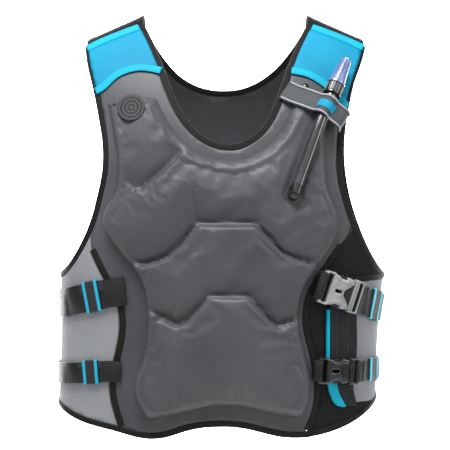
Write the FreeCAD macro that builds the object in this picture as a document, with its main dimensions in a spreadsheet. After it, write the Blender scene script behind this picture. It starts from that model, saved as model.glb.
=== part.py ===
"""Inflatable buoyancy vest for swimmers, worn on the torso and closed at the wearer's left side.

Row frame: +Z up, +X towards the wearer's left, -Y is the chest side. The origin is the middle of the
worn torso at the level of the lowest point of the hem. All sizes are in millimetres.
Soft pieces follow one torso surface, each as a closed slab between two heights above it. Hard pieces
are built in a frame of their own and then placed on that surface.
"""
import FreeCAD, Part
import math
import os
import Sketcher
from FreeCAD import Matrix, Placement, Vector

doc = FreeCAD.newDocument("BuoyancyVest")
sheet = doc.addObject("Spreadsheet::Sheet", "Sizes")

# ---------------------------------------------------------------- driving dimensions
SIZES = dict(
    # the garment as a whole
    vest_height=600, chest_width=472, chest_depth=244,
    # soft goods
    panel_thick=3, binding_width=9.5, binding_proud=1, layer_gap=0.4, seam_gap=0.8, bladder_rise=22,
    bladder_edge=7, yoke_thick=2, flap_thick=2, badge_radius=19, badge_thick=1.2,
    shoulder_rise=13, shoulder_thick=4,
    # webbing and the loops that keep its loose ends
    wide_webbing=40, narrow_webbing=30, webbing_thick=1.6, keeper_length=24, keeper_thick=1.2,
    keeper_gap=0.5, keeper_travel=6, band_width=34, band_thick=1.6, piping_width=2.4,
    piping_thick=1.2, snap_radius=5, snap_height=4,
    # side release buckles: socket, plug and latch arms
    buckle_wall=2, side_wall=3, buckle_thick=10, socket_length=34, bar_size=4.5, bar_slot=8,
    buckle_gap=0.4, tongue_width=6, tongue_length=24, plug_base=7.5, plug_slot=4.5, plug_bar=3.5,
    plug_travel=30, arm_thick=3, arm_flex=14, eye_radius=2.4, pad_bulge=2.4, window_start=11,
    window_length=13.5, pin_radius=1.2, pin_gap=0.05,
    # oral inflator
    hose_od=16, hose_bore=10, flange_radius=13, flange_thick=2, elbow_height=12, elbow_reach=12,
    barb_length=10, barb_gap=0.1, barb_bore=3.9, housing_radius=9.6, housing_length=24, neck_step=0.8,
    housing_floor=4, chamber_radius=7.4, collar_radius=12, collar_height=2.5, seat_radius=2.6,
    stem_radius=1.5, disc_radius=3.5, disc_thick=1.2, running_gap=0.3, fit_gap=0.05,
    ring_radius=12.2, ring_length=13.5, ring_turn=90, mouth_radius=7, mouth_height=40,
    mouth_bore=4.4, web_thick=3, web_height=10, push_travel=4, cap_base_radius=11.6,
    cap_tip_radius=7.4, cap_length=43, cap_wall=1.3, spring_wire=0.9, spring_radius=4.6,
    spring_turns=4, knurl_count=16, knurl_radius=0.9,
)
for row, (alias, value) in enumerate(SIZES.items(), start=1):
    sheet.set(f"A{row}", alias)
    sheet.set(f"B{row}", str(value))
    sheet.setAlias(f"B{row}", alias)
doc.recompute()


class Size:
    """A length that is a number and also the spreadsheet expression it comes from."""

    def __init__(self, value, text=None):
        self.value = float(value)
        self.text = text or f"{self.value:.6g}"

    def _join(self, other, sign, total):
        other = other if isinstance(other, Size) else Size(other)
        return Size(total(self.value, other.value), f"({self.text} {sign} {other.text})")

    def __add__(self, other):
        return self._join(other, "+", lambda a, b: a + b)

    def __sub__(self, other):
        return self._join(other, "-", lambda a, b: a - b)

    def __mul__(self, other):
        return self._join(other, "*", lambda a, b: a * b)

    def __truediv__(self, other):
        return self._join(other, "/", lambda a, b: a / b)

    def __rsub__(self, other):
        return Size(other) - self

    def __neg__(self):
        return Size(0) - self

    def __float__(self):
        return self.value

    __radd__ = __add__
    __rmul__ = __mul__


def cell(alias):
    """The Size of the sheet's cell with that alias."""
    return Size(sheet.get(alias), f"Sizes.{alias}")


GAP = float(cell("layer_gap"))
PANEL = float(cell("panel_thick"))
PROUD = float(cell("binding_proud"))
WIDTH = float(cell("binding_width"))
SEAM_GAP = float(cell("seam_gap"))
WEB = float(cell("webbing_thick"))

# ---------------------------------------------------------------- torso surface
# The base pattern is drawn for one garment size, and graded to the sheet's sizes.
GRADE_X = float(cell("chest_width")) / 472
GRADE_Y = float(cell("chest_depth")) / 244
GRADE_Z = float(cell("vest_height")) / 600

LEVELS = [-20, 60, 150, 240, 330, 410, 480, 540, 585, 625]
HALF_WIDTH = [226, 224, 224, 229, 236, 244, 250, 250, 246, 238]
FRONT_DEPTH = [104, 112, 118, 124, 126, 116, 96, 66, 36, 10]
BACK_DEPTH = [100, 104, 110, 116, 118, 110, 90, 60, 32, 8]
CENTRE_X = [-12, -11, -8, -4, 0, 0, 0, 0, 0, 0]
SQUARENESS = 2.5
FRONT, BACK = -1, 1


def smooth(z, values):
    """Cubic Hermite interpolation of values over LEVELS, with slopes from the neighbouring levels."""
    last = len(LEVELS) - 1
    i = 0
    while i < last - 1 and z > LEVELS[i + 1]:
        i += 1

    def slope(k):
        low, high = max(k - 1, 0), min(k + 1, last)
        return (values[high] - values[low]) / (LEVELS[high] - LEVELS[low])

    h = LEVELS[i + 1] - LEVELS[i]
    t = (z - LEVELS[i]) / h
    return ((2 * t**3 - 3 * t**2 + 1) * values[i] + (t**3 - 2 * t**2 + t) * h * slope(i)
            + (-2 * t**3 + 3 * t**2) * values[i + 1] + (t**3 - t**2) * h * slope(i + 1))


def section(z, side):
    """Centre x, half width and depth of the torso at height z, on the front or the back."""
    level = z / GRADE_Z
    depth = smooth(level, FRONT_DEPTH if side == FRONT else BACK_DEPTH)
    return smooth(level, CENTRE_X) * GRADE_X, smooth(level, HALF_WIDTH) * GRADE_X, depth * GRADE_Y


def on_torso(angle, z, rise=0.0):
    """Point at height z, rise above the torso. Angle 0 is +X, -90 degrees is the chest."""
    c, s = math.cos(angle), math.sin(angle)
    centre, half, depth = section(z, FRONT if s < 0 else BACK)
    power = 2 / SQUARENESS
    return Vector(centre + (half + rise) * math.copysign(abs(c) ** power, c),
                  (depth + rise) * math.copysign(abs(s) ** power, s), z)


def angle_of(point):
    """Angle of the torso point that lies straight inside or outside a point."""
    centre, half, depth = section(point.z, FRONT if point.y < 0 else BACK)
    power = SQUARENESS / 2
    c = math.copysign((abs(point.x - centre) / half) ** power, point.x - centre)
    return math.atan2(math.copysign((abs(point.y) / depth) ** power, point.y), c)


def seen_at(x, z, side=FRONT):
    """(angle, z) of the torso point at x, z of the front view, on the front or the back."""
    centre, half, _ = section(z, side)
    share = max(-1.0, min(1.0, (x - centre) / half))
    return side * math.acos(math.copysign(abs(share) ** (SQUARENESS / 2), share)), z


def outward(angle, z):
    """Unit vector that points out of the torso."""
    across = on_torso(angle + 0.01, z) - on_torso(angle - 0.01, z)
    up = on_torso(angle, z + 1) - on_torso(angle, z - 1)
    return across.cross(up).normalize()


# ---------------------------------------------------------------- smooth paths
ANGLE_SCALE = 230.0


def unwound(points, about=None):
    """The same (angle, z) with each angle within half a turn of the one before it, or of about."""
    out, last = [], points[0][0] if about is None else about
    for angle, z in points:
        angle -= 2 * math.pi * round((angle - last) / (2 * math.pi))
        out.append((angle, z))
        last = angle if about is None else about
    return out


def smooth_path(points, count, about=None):
    """Evenly spaced (angle, z) on a smooth curve through points of (angle, z)."""
    curve = Part.BSplineCurve()
    curve.interpolate(Points=[Vector(a * ANGLE_SCALE, z, 0) for a, z in unwound(points, about)])
    return [(p.x / ANGLE_SCALE, p.y) for p in curve.toShape().discretize(Number=count)]


def pattern(points, side=FRONT):
    """Pattern points (x, z) of the base size, as (angle, z) on this garment."""
    return [seen_at(x * GRADE_X, z * GRADE_Z, side) for x, z in points]


def smooth_line(points, count):
    """Evenly spaced points on a smooth curve through 3-D points."""
    curve = Part.BSplineCurve()
    curve.interpolate(Points=points)
    return curve.toShape().discretize(Number=count)


# ---------------------------------------------------------------- slabs between two grids of points
def through_skin(grid):
    """Smooth surface through a grid of points."""
    skin = Part.BSplineSurface()
    skin.interpolate(grid)
    return skin


def drawn_skin(grid):
    """Surface two poles wide that is drawn along close rows of points, smooth along them."""
    spans = len(grid) - 3
    skin = Part.BSplineSurface()
    skin.buildFromPolesMultsKnots(grid, [4] + [1] * (spans - 1) + [4], [2, 2], list(range(spans + 1)), [0, 1],
                                  False, False, 3, 1)
    return skin


def sewn(faces):
    """Solid inside faces that share their edges."""
    shell = Part.makeShell(faces)
    shell.sewShape()
    solid = Part.makeSolid(shell)
    if solid.Volume < 0:
        solid.reverse()
    return solid


def slab(outer, inner):
    """Closed solid between two grids of points that have the same rows and columns."""
    return closed([through_skin(outer), through_skin(inner)])


def closed(skins):
    """Solid between two surfaces, closed by ruled faces round their rims."""
    faces = [skin.toShape() for skin in skins]
    for iso, end in (("uIso", 0), ("uIso", 1), ("vIso", 2), ("vIso", 3)):
        edges = [getattr(skin, iso)(skin.bounds()[end]).toShape() for skin in skins]
        faces.append(Part.makeRuledSurface(*edges))
    return sewn(faces)


def patch(about, left, right, low, high, rise_in, rise_out, rows=26, columns=26):
    """Slab on the torso with four smooth sides, each a list of (angle, z) within half a turn of about.

    left and right run upwards, low and high run from left to right. A rise may depend on the place.
    """
    left, right = smooth_path(left, rows, about), smooth_path(right, rows, about)
    low, high = smooth_path(low, columns, about), smooth_path(high, columns, about)

    def blend(i, j, k):
        s, t = j / (columns - 1), i / (rows - 1)
        corners = ((1 - s) * (1 - t) * low[0][k] + s * (1 - t) * low[-1][k]
                   + (1 - s) * t * high[0][k] + s * t * high[-1][k])
        return (1 - s) * left[i][k] + s * right[i][k] + (1 - t) * low[j][k] + t * high[j][k] - corners

    def grid(rise):
        places = [[(blend(i, j, 0), blend(i, j, 1)) for j in range(columns)] for i in range(rows)]
        return [[on_torso(a, z, rise(on_torso(a, z)) if callable(rise) else rise) for a, z in line]
                for line in places]

    return slab(grid(rise_out), grid(rise_in))


def tape(path, width, rise_in, rise_out):
    """Slab along a path of (angle, z) on the torso, reaching width to the right of the path."""
    base = [on_torso(angle, z) for angle, z in path]
    grids = ([], [])
    for i, (angle, z) in enumerate(path):
        ahead = base[min(i + 1, len(base) - 1)] - base[max(i - 1, 0)]
        aside = ahead.cross(outward(angle, z)).normalize()
        for rows, rise in zip(grids, (rise_out, rise_in)):
            places = [base[i] + aside * (width * share) for share in (0.0, 0.5, 1.0)]
            rows.append([on_torso(angle_of(p), p.z, rise) for p in places])
    return slab(*grids)


def ribbon(points, sides, width, thick):
    """Slab of webbing centred on close 3-D points, flat across its width along the side vectors."""
    rings = []
    for i, (point, aside) in enumerate(zip(points, sides)):
        ahead = points[min(i + 1, len(points) - 1)] - points[max(i - 1, 0)]
        normal = ahead.cross(aside).normalize() * (thick / 2)
        level = normal.cross(ahead).normalize() * (width / 2)
        rings.append([point + level + normal, point - level + normal,
                      point - level - normal, point + level - normal])
    faces = [drawn_skin([[ring[k - 1], ring[k]] for ring in rings]).toShape() for k in range(4)]
    faces += [Part.Face(Part.makePolygon([*ring, ring[0]])) for ring in (rings[0], rings[-1])]
    return sewn(faces)


def prism(curves, side):
    """Solid seen in the front view as the closed outline of smooth curves through pattern points."""
    edges = []
    for points in curves:
        vectors = [Vector(x * GRADE_X, 0, z * GRADE_Z) for x, z in points]
        if len(vectors) == 2:
            edges.append(Part.makeLine(*vectors))
        else:
            curve = Part.BSplineCurve()
            curve.interpolate(Points=vectors)
            edges.append(curve.toShape())
    return Part.Face(Part.Wire(edges)).extrude(Vector(0, side * 250 * GRADE_Y, 0))


def soft(label, shape):
    """A document object for a soft piece whose shape no parametric feature can make."""
    feature = doc.addObject("Part::Feature", label)
    feature.Shape = shape
    feature.Label = label
    return feature


# ---------------------------------------------------------------- pattern lines
SHOULDER_IN, SHOULDER_OUT = (116, 584), (196, 548)
NECK = [(-116, 584), (-104, 560), (-91, 530), (-76, 490), (-62, 458), (-42, 430), (-18, 413), (6, 408),
        (28, 414), (48, 430), (64, 457), (77, 492), (91, 530), (104, 560), (116, 584)]
ARM_RIGHT = [(-196, 548), (-193, 526), (-184, 490), (-174, 443), (-168, 401), (-169, 370), (-176, 335),
             (-186, 300), (-200, 270), (-216, 245)]
ARM_LEFT = [(196, 548), (189, 524), (177, 492), (167, 455), (160, 400), (160, 366), (167, 334),
            (179, 298), (194, 266), (208, 244)]
BACK_NECK = [(-116, 584), (-100, 556), (-80, 530), (-62, 514), (-40, 503), (-3, 497), (34, 503), (56, 514),
             (76, 530), (98, 556), (116, 584)]
BACK_ARM = [(214, 252), (198, 292), (184, 340), (176, 400), (180, 460), (190, 515), (196, 548)]
BACK_ARM_RIGHT = [(-x, z) for x, z in BACK_ARM]
RIGHT_SEAM = [(-142, 9), (-150, 35), (-157, 69), (-151, 112), (-143, 160), (-146, 185), (-165, 224),
              (-188, 272)]
LEFT_SEAM = [(110, 3), (127, 45), (129, 76), (122, 122), (113, 163), (117, 196), (144, 243), (174, 288)]
FRONT_HEM = [(110, 3), (80, 4), (45, 12), (5, 19), (-50, 14), (-82, 4), (-109, 2), (-142, 9)]
HEM_RIGHT, HEM_LEFT, HEM_BACK, ARM_LOW = 42, 50, 22, 231
REAR_SEAM = 42


def rear_seam(sign, z, beyond=0.0):
    """(angle, z) on, or just beyond, the rear side seam of the -X (sign -1) or the +X (sign 1) side."""
    _, _, depth = section(z, BACK)
    angle = math.asin(((REAR_SEAM * GRADE_Y + beyond) / depth) ** (SQUARENESS / 2))
    return (angle if sign > 0 else math.pi - angle), z


def offset_path(path, distance):
    """Path of (angle, z) moved to the right of its direction along the torso."""
    base = [on_torso(angle, z) for angle, z in path]
    moved = []
    for i, (angle, z) in enumerate(path):
        ahead = base[min(i + 1, len(base) - 1)] - base[max(i - 1, 0)]
        p = base[i] + ahead.cross(outward(angle, z)).normalize() * distance
        moved.append((angle_of(p), p.z))
    return unwound(moved)


def at_height(path, z):
    """First point of a path at height z."""
    for (a0, z0), (a1, z1) in zip(path, path[1:]):
        if (z0 - z) * (z1 - z) <= 0 and z0 != z1:
            return a0 + (a1 - a0) * (z - z0) / (z1 - z0), z
    raise ValueError(f"path doesn't reach height {z}")


def at_angle(path, angle):
    """First point of a path at that angle, whatever the turn."""
    for (a0, z0), (a1, z1) in zip(path, path[1:]):
        turn = 2 * math.pi * round((a0 - angle) / (2 * math.pi))
        if (a0 - turn - angle) * (a1 - turn - angle) <= 0 and a0 != a1:
            return angle, z0 + (z1 - z0) * (angle + turn - a0) / (a1 - a0)
    raise ValueError(f"path doesn't reach angle {angle}")


def between(path, first, last, margin=0.04, step=2):
    """Path from first to last, (angle, z) each, by way of the path's points at the angles between."""
    about = (first[0] + last[0]) / 2
    low, high = sorted((first[0], last[0]))
    points = sorted(p for p in unwound(path, about) if low + margin < p[0] < high - margin)
    points = points if first[0] < last[0] else points[::-1]
    return [first, *points[1::step], last]


def rising(path, low, high, step=2):
    """Every step-th point of a path between two heights, upwards."""
    points = [p for p in path if low <= p[1] <= high]
    return (points if points[0][1] < points[-1][1] else points[::-1])[::step]


INSET = WIDTH + SEAM_GAP
side_right = (-math.pi, ARM_LOW * GRADE_Z)
side_left = (0.0, ARM_LOW * GRADE_Z)
RIGHT_SIDE, LEFT_SIDE, CHEST, SPINE = -math.pi, 0.0, -math.pi / 2, math.pi / 2
neck_path = smooth_path(pattern(NECK), 90)
back_neck_path = smooth_path(pattern(BACK_NECK[::-1], BACK), 60)
arm_right_path = smooth_path([*pattern(BACK_ARM_RIGHT[::-1], BACK), side_right,
                              *pattern(ARM_RIGHT[::-1])], 90)
arm_left_path = smooth_path([*pattern(ARM_LEFT), side_left, *pattern(BACK_ARM, BACK)], 90)
hem_path = smooth_path([*pattern(FRONT_HEM), *pattern([(-190, 20), (-225, 34)]),
                        (-math.pi, HEM_RIGHT * GRADE_Z),
                        *pattern([(-150, HEM_BACK), (0, HEM_BACK - 4), (150, HEM_BACK)], BACK),
                        (0.0, HEM_LEFT * GRADE_Z),
                        *pattern([(190, 30), (160, 15), (130, 6.5), (112.5, 3.5)])], 150)


def bound(label, path):
    """Edge binding: a tape folded over the panels along a path, standing proud of both their faces."""
    return soft(label, tape(path, WIDTH, -PROUD, PANEL + PROUD))


bound("neck_binding_front", neck_path)
bound("neck_binding_back", back_neck_path)
bound("armhole_binding_right", arm_right_path)
bound("armhole_binding_left", arm_left_path)
bound("hem_binding", hem_path)

# ---------------------------------------------------------------- shell panels
def front_part(path):
    return [p for p in path if math.sin(p[0]) < 0]


def back_part(path):
    return [p for p in path if math.sin(p[0]) > 0]


def shoulder_line(side, drop=2.0):
    """Tops of the tabs, from the -X armhole over the neck opening to the +X armhole."""
    (x0, z0), (x1, z1) = SHOULDER_IN, SHOULDER_OUT
    slope = (z1 - z0) / (x1 - x0)
    half = [(x, z0 + slope * (x - x0) - drop) for x in (x0 + 6, x0 + 20, x0 + 36, x0 + 52, x1 - 13)]
    return pattern([*[(-x, z) for x, z in half[::-1]], (-60, z0), (60, z0), *half], side)


hem_inner = offset_path(hem_path, INSET)
arm_right_inner, arm_left_inner = offset_path(arm_right_path, INSET), offset_path(arm_left_path, INSET)
neck_inner, back_neck_inner = offset_path(neck_path, INSET), offset_path(back_neck_path, INSET)
right_seam, left_seam = smooth_path(pattern(RIGHT_SEAM), 60), smooth_path(pattern(LEFT_SEAM), 60)


def on_hem(seam):
    """Where a rising seam line meets the hem's inner edge."""
    start = at_angle(hem_inner, at_height(seam, seam[0][1] + INSET)[0])
    return at_height(seam, start[1])


def clear_of(shape, tool):
    """The largest piece of a shape that lies outside a tool."""
    return max(shape.cut(tool).Solids, key=lambda solid: solid.Volume)


def opening(inner_path, side):
    """Solid that cuts a neck opening along the inner edge of its binding, open at the top."""
    places = [on_torso(angle, z) for angle, z in inner_path[::2]]
    curve = [(p.x / GRADE_X, p.z / GRADE_Z) for p in places]
    (x0, z0), (x1, z1) = curve[0], curve[-1]
    return prism([curve, [(x1, z1), (x1, 660)], [(x1, 660), (x0, 660)], [(x0, 660), (x0, z0)]], side)


SEAM_TOP, ARM_START = 254 * GRADE_Z, 302 * GRADE_Z
front_seam_in, front_edge_in = offset_path(right_seam, SEAM_GAP / 2), offset_path(left_seam, -INSET)
top = shoulder_line(FRONT)
low_right, low_left = on_hem(front_seam_in), on_hem(front_edge_in)
TAB_CORNER = 528 * GRADE_Z
front_low = between(hem_inner, low_right, low_left)
front_right_side = [low_right, *rising(front_seam_in, low_right[1] + 8, SEAM_TOP, 4),
                    *rising(front_part(arm_right_inner), ARM_START, TAB_CORNER), top[0]]
front_left_side = [low_left, *rising(front_edge_in, low_left[1] + 8, SEAM_TOP + 10, 4),
                   *rising(front_part(arm_left_inner), ARM_START + 18, TAB_CORNER), top[-1]]
front = patch(CHEST, front_right_side, front_left_side, front_low, top, 0, PANEL, 40, 34)
soft("front_panel", front.cut(opening(neck_inner, FRONT)).Solids[0])

back_top = shoulder_line(BACK)
back_sides = []
SEAM_LEVELS = (70, 105, 140, 175, 200)
for sign, inner in ((-1, arm_right_inner), (1, arm_left_inner)):
    corner = at_angle(hem_inner, rear_seam(sign, HEM_BACK * GRADE_Z, SEAM_GAP)[0])
    seam = [rear_seam(sign, z * GRADE_Z, SEAM_GAP) for z in SEAM_LEVELS]
    arm = rising(back_part(offset_path(inner, SEAM_GAP)), 262 * GRADE_Z, TAB_CORNER)
    back_sides.append([corner, *seam, *arm, back_top[0 if sign < 0 else -1]])
back_low = between(hem_inner, back_sides[0][0], back_sides[1][0])
back = patch(SPINE, *back_sides, back_low, back_top, 0, PANEL, 50, 34)
back = clear_of(back, opening(offset_path(back_neck_inner, SEAM_GAP), BACK))
soft("back_panel", clear_of(back, tape(arm_right_path, INSET, -PROUD - 1, PANEL + PROUD + 1)))


def side_panel(label, sign, about, seam, arm_inner):
    """Panel round one side of the torso, from a front seam to the rear seam."""
    seam = unwound(seam, about)
    front_bottom, front_top = on_hem(seam), at_height(seam, 262 * GRADE_Z)
    seam_ends = unwound([rear_seam(sign, z * GRADE_Z) for z in (HEM_BACK, ARM_LOW)], about)
    rear_bottom, rear_top = at_angle(hem_inner, seam_ends[0][0]), at_angle(arm_inner, seam_ends[1][0])
    rear = [rear_bottom, *unwound([rear_seam(sign, z * GRADE_Z) for z in SEAM_LEVELS], about), rear_top]
    front_side = [front_bottom, *rising(seam, front_bottom[1] + 8, front_top[1] - 6, 4), front_top]
    soft(label, patch(about, front_side, rear, between(hem_inner, front_bottom, rear_bottom),
                      between(arm_inner, front_top, rear_top), 0, PANEL, 24, 34))


side_panel("right_side_panel", -1, RIGHT_SIDE, offset_path(right_seam, -SEAM_GAP / 2), arm_right_inner)
side_panel("closure_panel", 1, LEFT_SIDE, offset_path(left_seam, SEAM_GAP), arm_left_inner)
bound("front_edge_binding", rising(left_seam, low_left[1] + 3, 268 * GRADE_Z, 1)[::-1])

# ---------------------------------------------------------------- blue shoulder yokes
ON_PANEL = PANEL + GAP


def yoke(label, arm_inner, lower_edge, arm_low):
    """Facing sewn over the front of one tab, between its bindings."""
    arm, neck = front_part(arm_inner), neck_inner
    if lower_edge[0][0] > 0:
        neck = neck[::-1]
    arm_heights = [h * GRADE_Z for h in (arm_low, (arm_low + 542) / 2, 542)]
    neck_heights = [h * GRADE_Z for h in (508, 540, 574)]
    outer_side, inner_side = ([at_height(line, h) for h in heights]
                              for line, heights in ((arm, arm_heights), (neck, neck_heights)))
    outer_rise = ON_PANEL + float(cell("yoke_thick"))
    soft(label, patch(CHEST, outer_side, inner_side, [outer_side[0], *pattern(lower_edge), inner_side[0]],
                      [outer_side[-1], inner_side[-1]], ON_PANEL, outer_rise, 14, 14))


yoke("shoulder_yoke_right", arm_right_inner[::-1], [(-150, 500), (-133, 509), (-114, 513)], 478)
yoke("shoulder_yoke_left", arm_left_inner, [(148, 474), (130, 491), (110, 503)], 456)

# ---------------------------------------------------------------- over the shoulders
def shoulder(label, sign):
    """Strap that carries on from the top of one front tab over the shoulder to the back panel."""
    (x0, z0), (x1, z1) = SHOULDER_IN, SHOULDER_OUT
    rise, thick = float(cell("shoulder_rise")), float(cell("shoulder_thick"))
    grids = ([], [])
    for i in range(9):
        share = i / 8
        x, z = sign * (x0 + (x1 - x0) * share) * GRADE_X, (z0 + (z1 - z0) * share + 1.5) * GRADE_Z
        front_point, back_point = (on_torso(*seen_at(x, z, side), 0) for side in (FRONT, BACK))
        middle = (front_point + back_point) * 0.5
        reach = (back_point.y - front_point.y) / 2
        turns = [math.pi * j / 16 for j in range(17)]
        for rows, out in zip(grids, (thick - 0.5, -0.5)):
            rows.append([Vector(x, middle.y - (reach + out) * math.cos(turn),
                                z + (rise - thick + 0.5 + out) * math.sin(turn)) for turn in turns])
    soft(label, slab(*grids))


shoulder("shoulder_strap_right", -1)
shoulder("shoulder_strap_left", 1)

# ---------------------------------------------------------------- air bladder
BLADDER_RIGHT = [(-102, 31), (-112, 45), (-119, 64), (-119, 88), (-112, 106), (-104, 150), (-104, 192),
                 (-113, 226), (-132, 252), (-151, 279), (-161, 300), (-157, 322), (-147, 344), (-144, 375),
                 (-147, 409), (-153, 440), (-156, 462)]
BLADDER_LEFT = [(98, 33), (106, 48), (110, 68), (109, 92), (105, 116), (98, 150), (96, 188), (105, 216),
                (124, 246), (143, 276), (150, 297), (147, 320), (138, 344), (134, 382), (134, 414),
                (138, 448)]
BLADDER_LOW = [(-102, 31), (-60, 38), (6, 50), (56, 40), (98, 33)]
BLADDER_TOP = [(-156, 462), (-134, 472), (-112, 474), (0, 476), (108, 474), (126, 466), (138, 448)]
HOSE_LINE = [(84, 339), (119, 445), (134, 476)]
NECK_TO_BLADDER, PUFF_REACH, LOBE_SHARE = 24, 55, 0.55
bladder_cut = offset_path(neck_path, NECK_TO_BLADDER * GRADE_X)


def seen(path):
    """The points of a path of (angle, z) as (x, z) of the front view."""
    return [(on_torso(angle, z).x, z) for angle, z in path]


bladder_sides = [pattern(points) for points in (BLADDER_RIGHT, BLADDER_LEFT, BLADDER_LOW, BLADDER_TOP)]
bladder_rim = [p for side in bladder_sides for p in seen(smooth_path(side, 60))] + seen(bladder_cut)


def beside(x, z, start, end):
    """Distance of x, z from the straight line between two points of the front view."""
    dx, dz = end[0] - start[0], end[1] - start[1]
    share = max(0.0, min(1.0, ((x - start[0]) * dx + (z - start[1]) * dz) / (dx * dx + dz * dz)))
    return math.hypot(x - start[0] - share * dx, z - start[1] - share * dz)


def bladder_rise(point):
    """Height of the inflated bladder's face above the torso."""
    x, z = point.x, point.z
    inside = min(1.0, min(math.hypot(x - a, z - b) for a, b in bladder_rim) / PUFF_REACH)
    up = max(0.0, min(1.0, (z / GRADE_Z - 260) / 140))
    low, high = float(cell("bladder_edge")), float(cell("bladder_rise")) * (1 - (1 - LOBE_SHARE) * up)
    puff = low + (high - low) * math.sqrt(1 - (1 - inside) ** 2)
    line = [(a * GRADE_X, b * GRADE_Z) for a, b in HOSE_LINE]
    from_hose = min(beside(x, z, line[0], line[1]), beside(x, z, line[1], line[2]))
    return ON_PANEL + min(puff, 9 + 0.5 * max(0.0, from_hose - 9))


bladder = patch(CHEST, *bladder_sides, ON_PANEL, bladder_rise, 44, 30)
soft("air_bladder", bladder.cut(opening(bladder_cut, FRONT)).Solids[0])

# ---------------------------------------------------------------- closure flap
FLAP_IN = PANEL + PROUD + GAP
FLAP_OUT = FLAP_IN + float(cell("flap_thick"))
FLAP_FRONT = [(150, 42), (143, 60), (139, 82), (140, 118), (140, 185), (139, 228)]
FLAP_REAR = [(180, 44), (176, 68), (177, 116), (177, 165), (176, 216)]
flap_front, flap_rear = pattern(FLAP_FRONT), pattern(FLAP_REAR)
soft("closure_flap", patch(CHEST, flap_front, flap_rear, [flap_front[0], flap_rear[0]],
                           [flap_front[-1], flap_rear[-1]], FLAP_IN, FLAP_OUT, 20, 8))
flap_edge = offset_path(smooth_path(flap_front, 40), -GAP)
soft("flap_edging", tape(flap_edge[::-1], 4.5, FLAP_IN, FLAP_OUT))

# ---------------------------------------------------------------- parametric bodies
def bind(thing, name, value):
    """Set a property from a Size, and keep it tied to the sheet."""
    thing.setExpression(name, (value if isinstance(value, Size) else Size(value)).text)


def origin_plane(body, role):
    return next(feature for feature in body.Origin.OriginFeatures if feature.Role == role)


def new_body(label):
    body = doc.addObject("PartDesign::Body", label)
    body.Label = label
    return body


def new_sketch(body, plane, lift):
    drawing = body.newObject("Sketcher::SketchObject", "drawing")
    drawing.AttachmentSupport = [(origin_plane(body, plane), "")]
    drawing.MapMode = "FlatFace"
    bind(drawing, "AttachmentOffset.Base.z", lift)
    return drawing


def place_point(drawing, item, corner):
    """Tie the start (or the centre) of a drawing's item to a pair of Sizes."""
    point = 3 if isinstance(drawing.Geometry[item], Part.Circle) else 1
    for kind, axis, value in (("DistanceX", -2, corner[0]), ("DistanceY", -1, corner[1])):
        value = value if isinstance(value, Size) else Size(value)
        if abs(value.value) < 1e-9:
            drawing.addConstraint(Sketcher.Constraint("PointOnObject", item, point, axis))
        else:
            index = drawing.addConstraint(Sketcher.Constraint(kind, -1, 1, item, point, value.value))
            drawing.setExpression(f"Constraints[{index}]", value.text)


def polygon(body, corners, plane="XY_Plane", lift=0):
    """Sketch of a closed polygon; each corner is a pair of Sizes."""
    drawing = new_sketch(body, plane, lift)
    ends = [Vector(float(a), float(b), 0) for a, b in corners]
    drawing.addGeometry([Part.LineSegment(a, b) for a, b in zip(ends, ends[1:] + ends[:1])], False)
    for i in range(len(ends)):
        drawing.addConstraint(Sketcher.Constraint("Coincident", i, 2, (i + 1) % len(ends), 1))
    for i, corner in enumerate(corners):
        place_point(drawing, i, corner)
    return drawing


def circles(body, centres, radius, lift=0):
    """Sketch of equal circles at pairs of Sizes."""
    drawing = new_sketch(body, "XY_Plane", lift)
    for i, (x, y) in enumerate(centres):
        drawing.addGeometry(Part.Circle(Vector(float(x), float(y), 0), Vector(0, 0, 1), float(radius)), False)
        place_point(drawing, i, (x, y))
        index = drawing.addConstraint(Sketcher.Constraint("Radius", i, float(radius)))
        drawing.setExpression(f"Constraints[{index}]", radius.text)
    return drawing


def extrude(body, kind, drawing, length):
    """Pad a drawing upwards, or pocket it downwards, by a length."""
    feature = body.newObject(f"PartDesign::{kind}", kind.lower())
    feature.Profile = drawing
    bind(feature, "Length", length)
    doc.recompute()
    return feature


def block(body, kind, x, y, z):
    """Pad or Pocket of a box, from a low and a high Size on each axis."""
    corners = [(x[0], y[0]), (x[1], y[0]), (x[1], y[1]), (x[0], y[1])]
    lift = z[0] if kind == "Pad" else z[1]
    return extrude(body, kind, polygon(body, corners, lift=lift), Size(0) + z[1] - z[0])


def turned(body, corners):
    """Revolution of a profile of (radius, height) about the body's Z axis."""
    drawing = polygon(body, corners, "XZ_Plane")
    feature = body.newObject("PartDesign::Revolution", "revolution")
    feature.Profile = drawing
    feature.ReferenceAxis = (drawing, ["V_Axis"])
    feature.Angle = 360
    doc.recompute()
    return feature


def round_edges(body, radius, wanted):
    """Fillet the edges of the body's last feature for which wanted(edge) is true."""
    base = body.Tip
    names = [f"Edge{i}" for i, edge in enumerate(base.Shape.Edges, start=1) if wanted(edge)]
    feature = body.newObject("PartDesign::Fillet", "fillet")
    feature.Base = (base, names)
    bind(feature, "Radius", radius)
    doc.recompute()
    return feature


def runs_along(axis):
    """Test for straight edges that run along a unit vector."""
    def test(edge):
        ends = [vertex.Point for vertex in edge.Vertexes]
        return len(ends) == 2 and abs((ends[1] - ends[0]).dot(axis)) > 0.999 * edge.Length
    return test


def frame(origin, ahead, up):
    """Placement at origin with X ahead and Z as near to up as it can be."""
    x = Vector(ahead).normalize()
    z = (up - x * x.dot(up)).normalize()
    y = z.cross(x)
    return Placement(Matrix(x.x, y.x, z.x, origin.x, x.y, y.y, z.y, origin.y,
                            x.z, y.z, z.z, origin.z, 0, 0, 0, 1))


def frame_axis(placement, axis):
    return placement.Rotation.multVec(axis)


X, Y, Z = Vector(1, 0, 0), Vector(0, 1, 0), Vector(0, 0, 1)
FRAMES = {}

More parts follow.
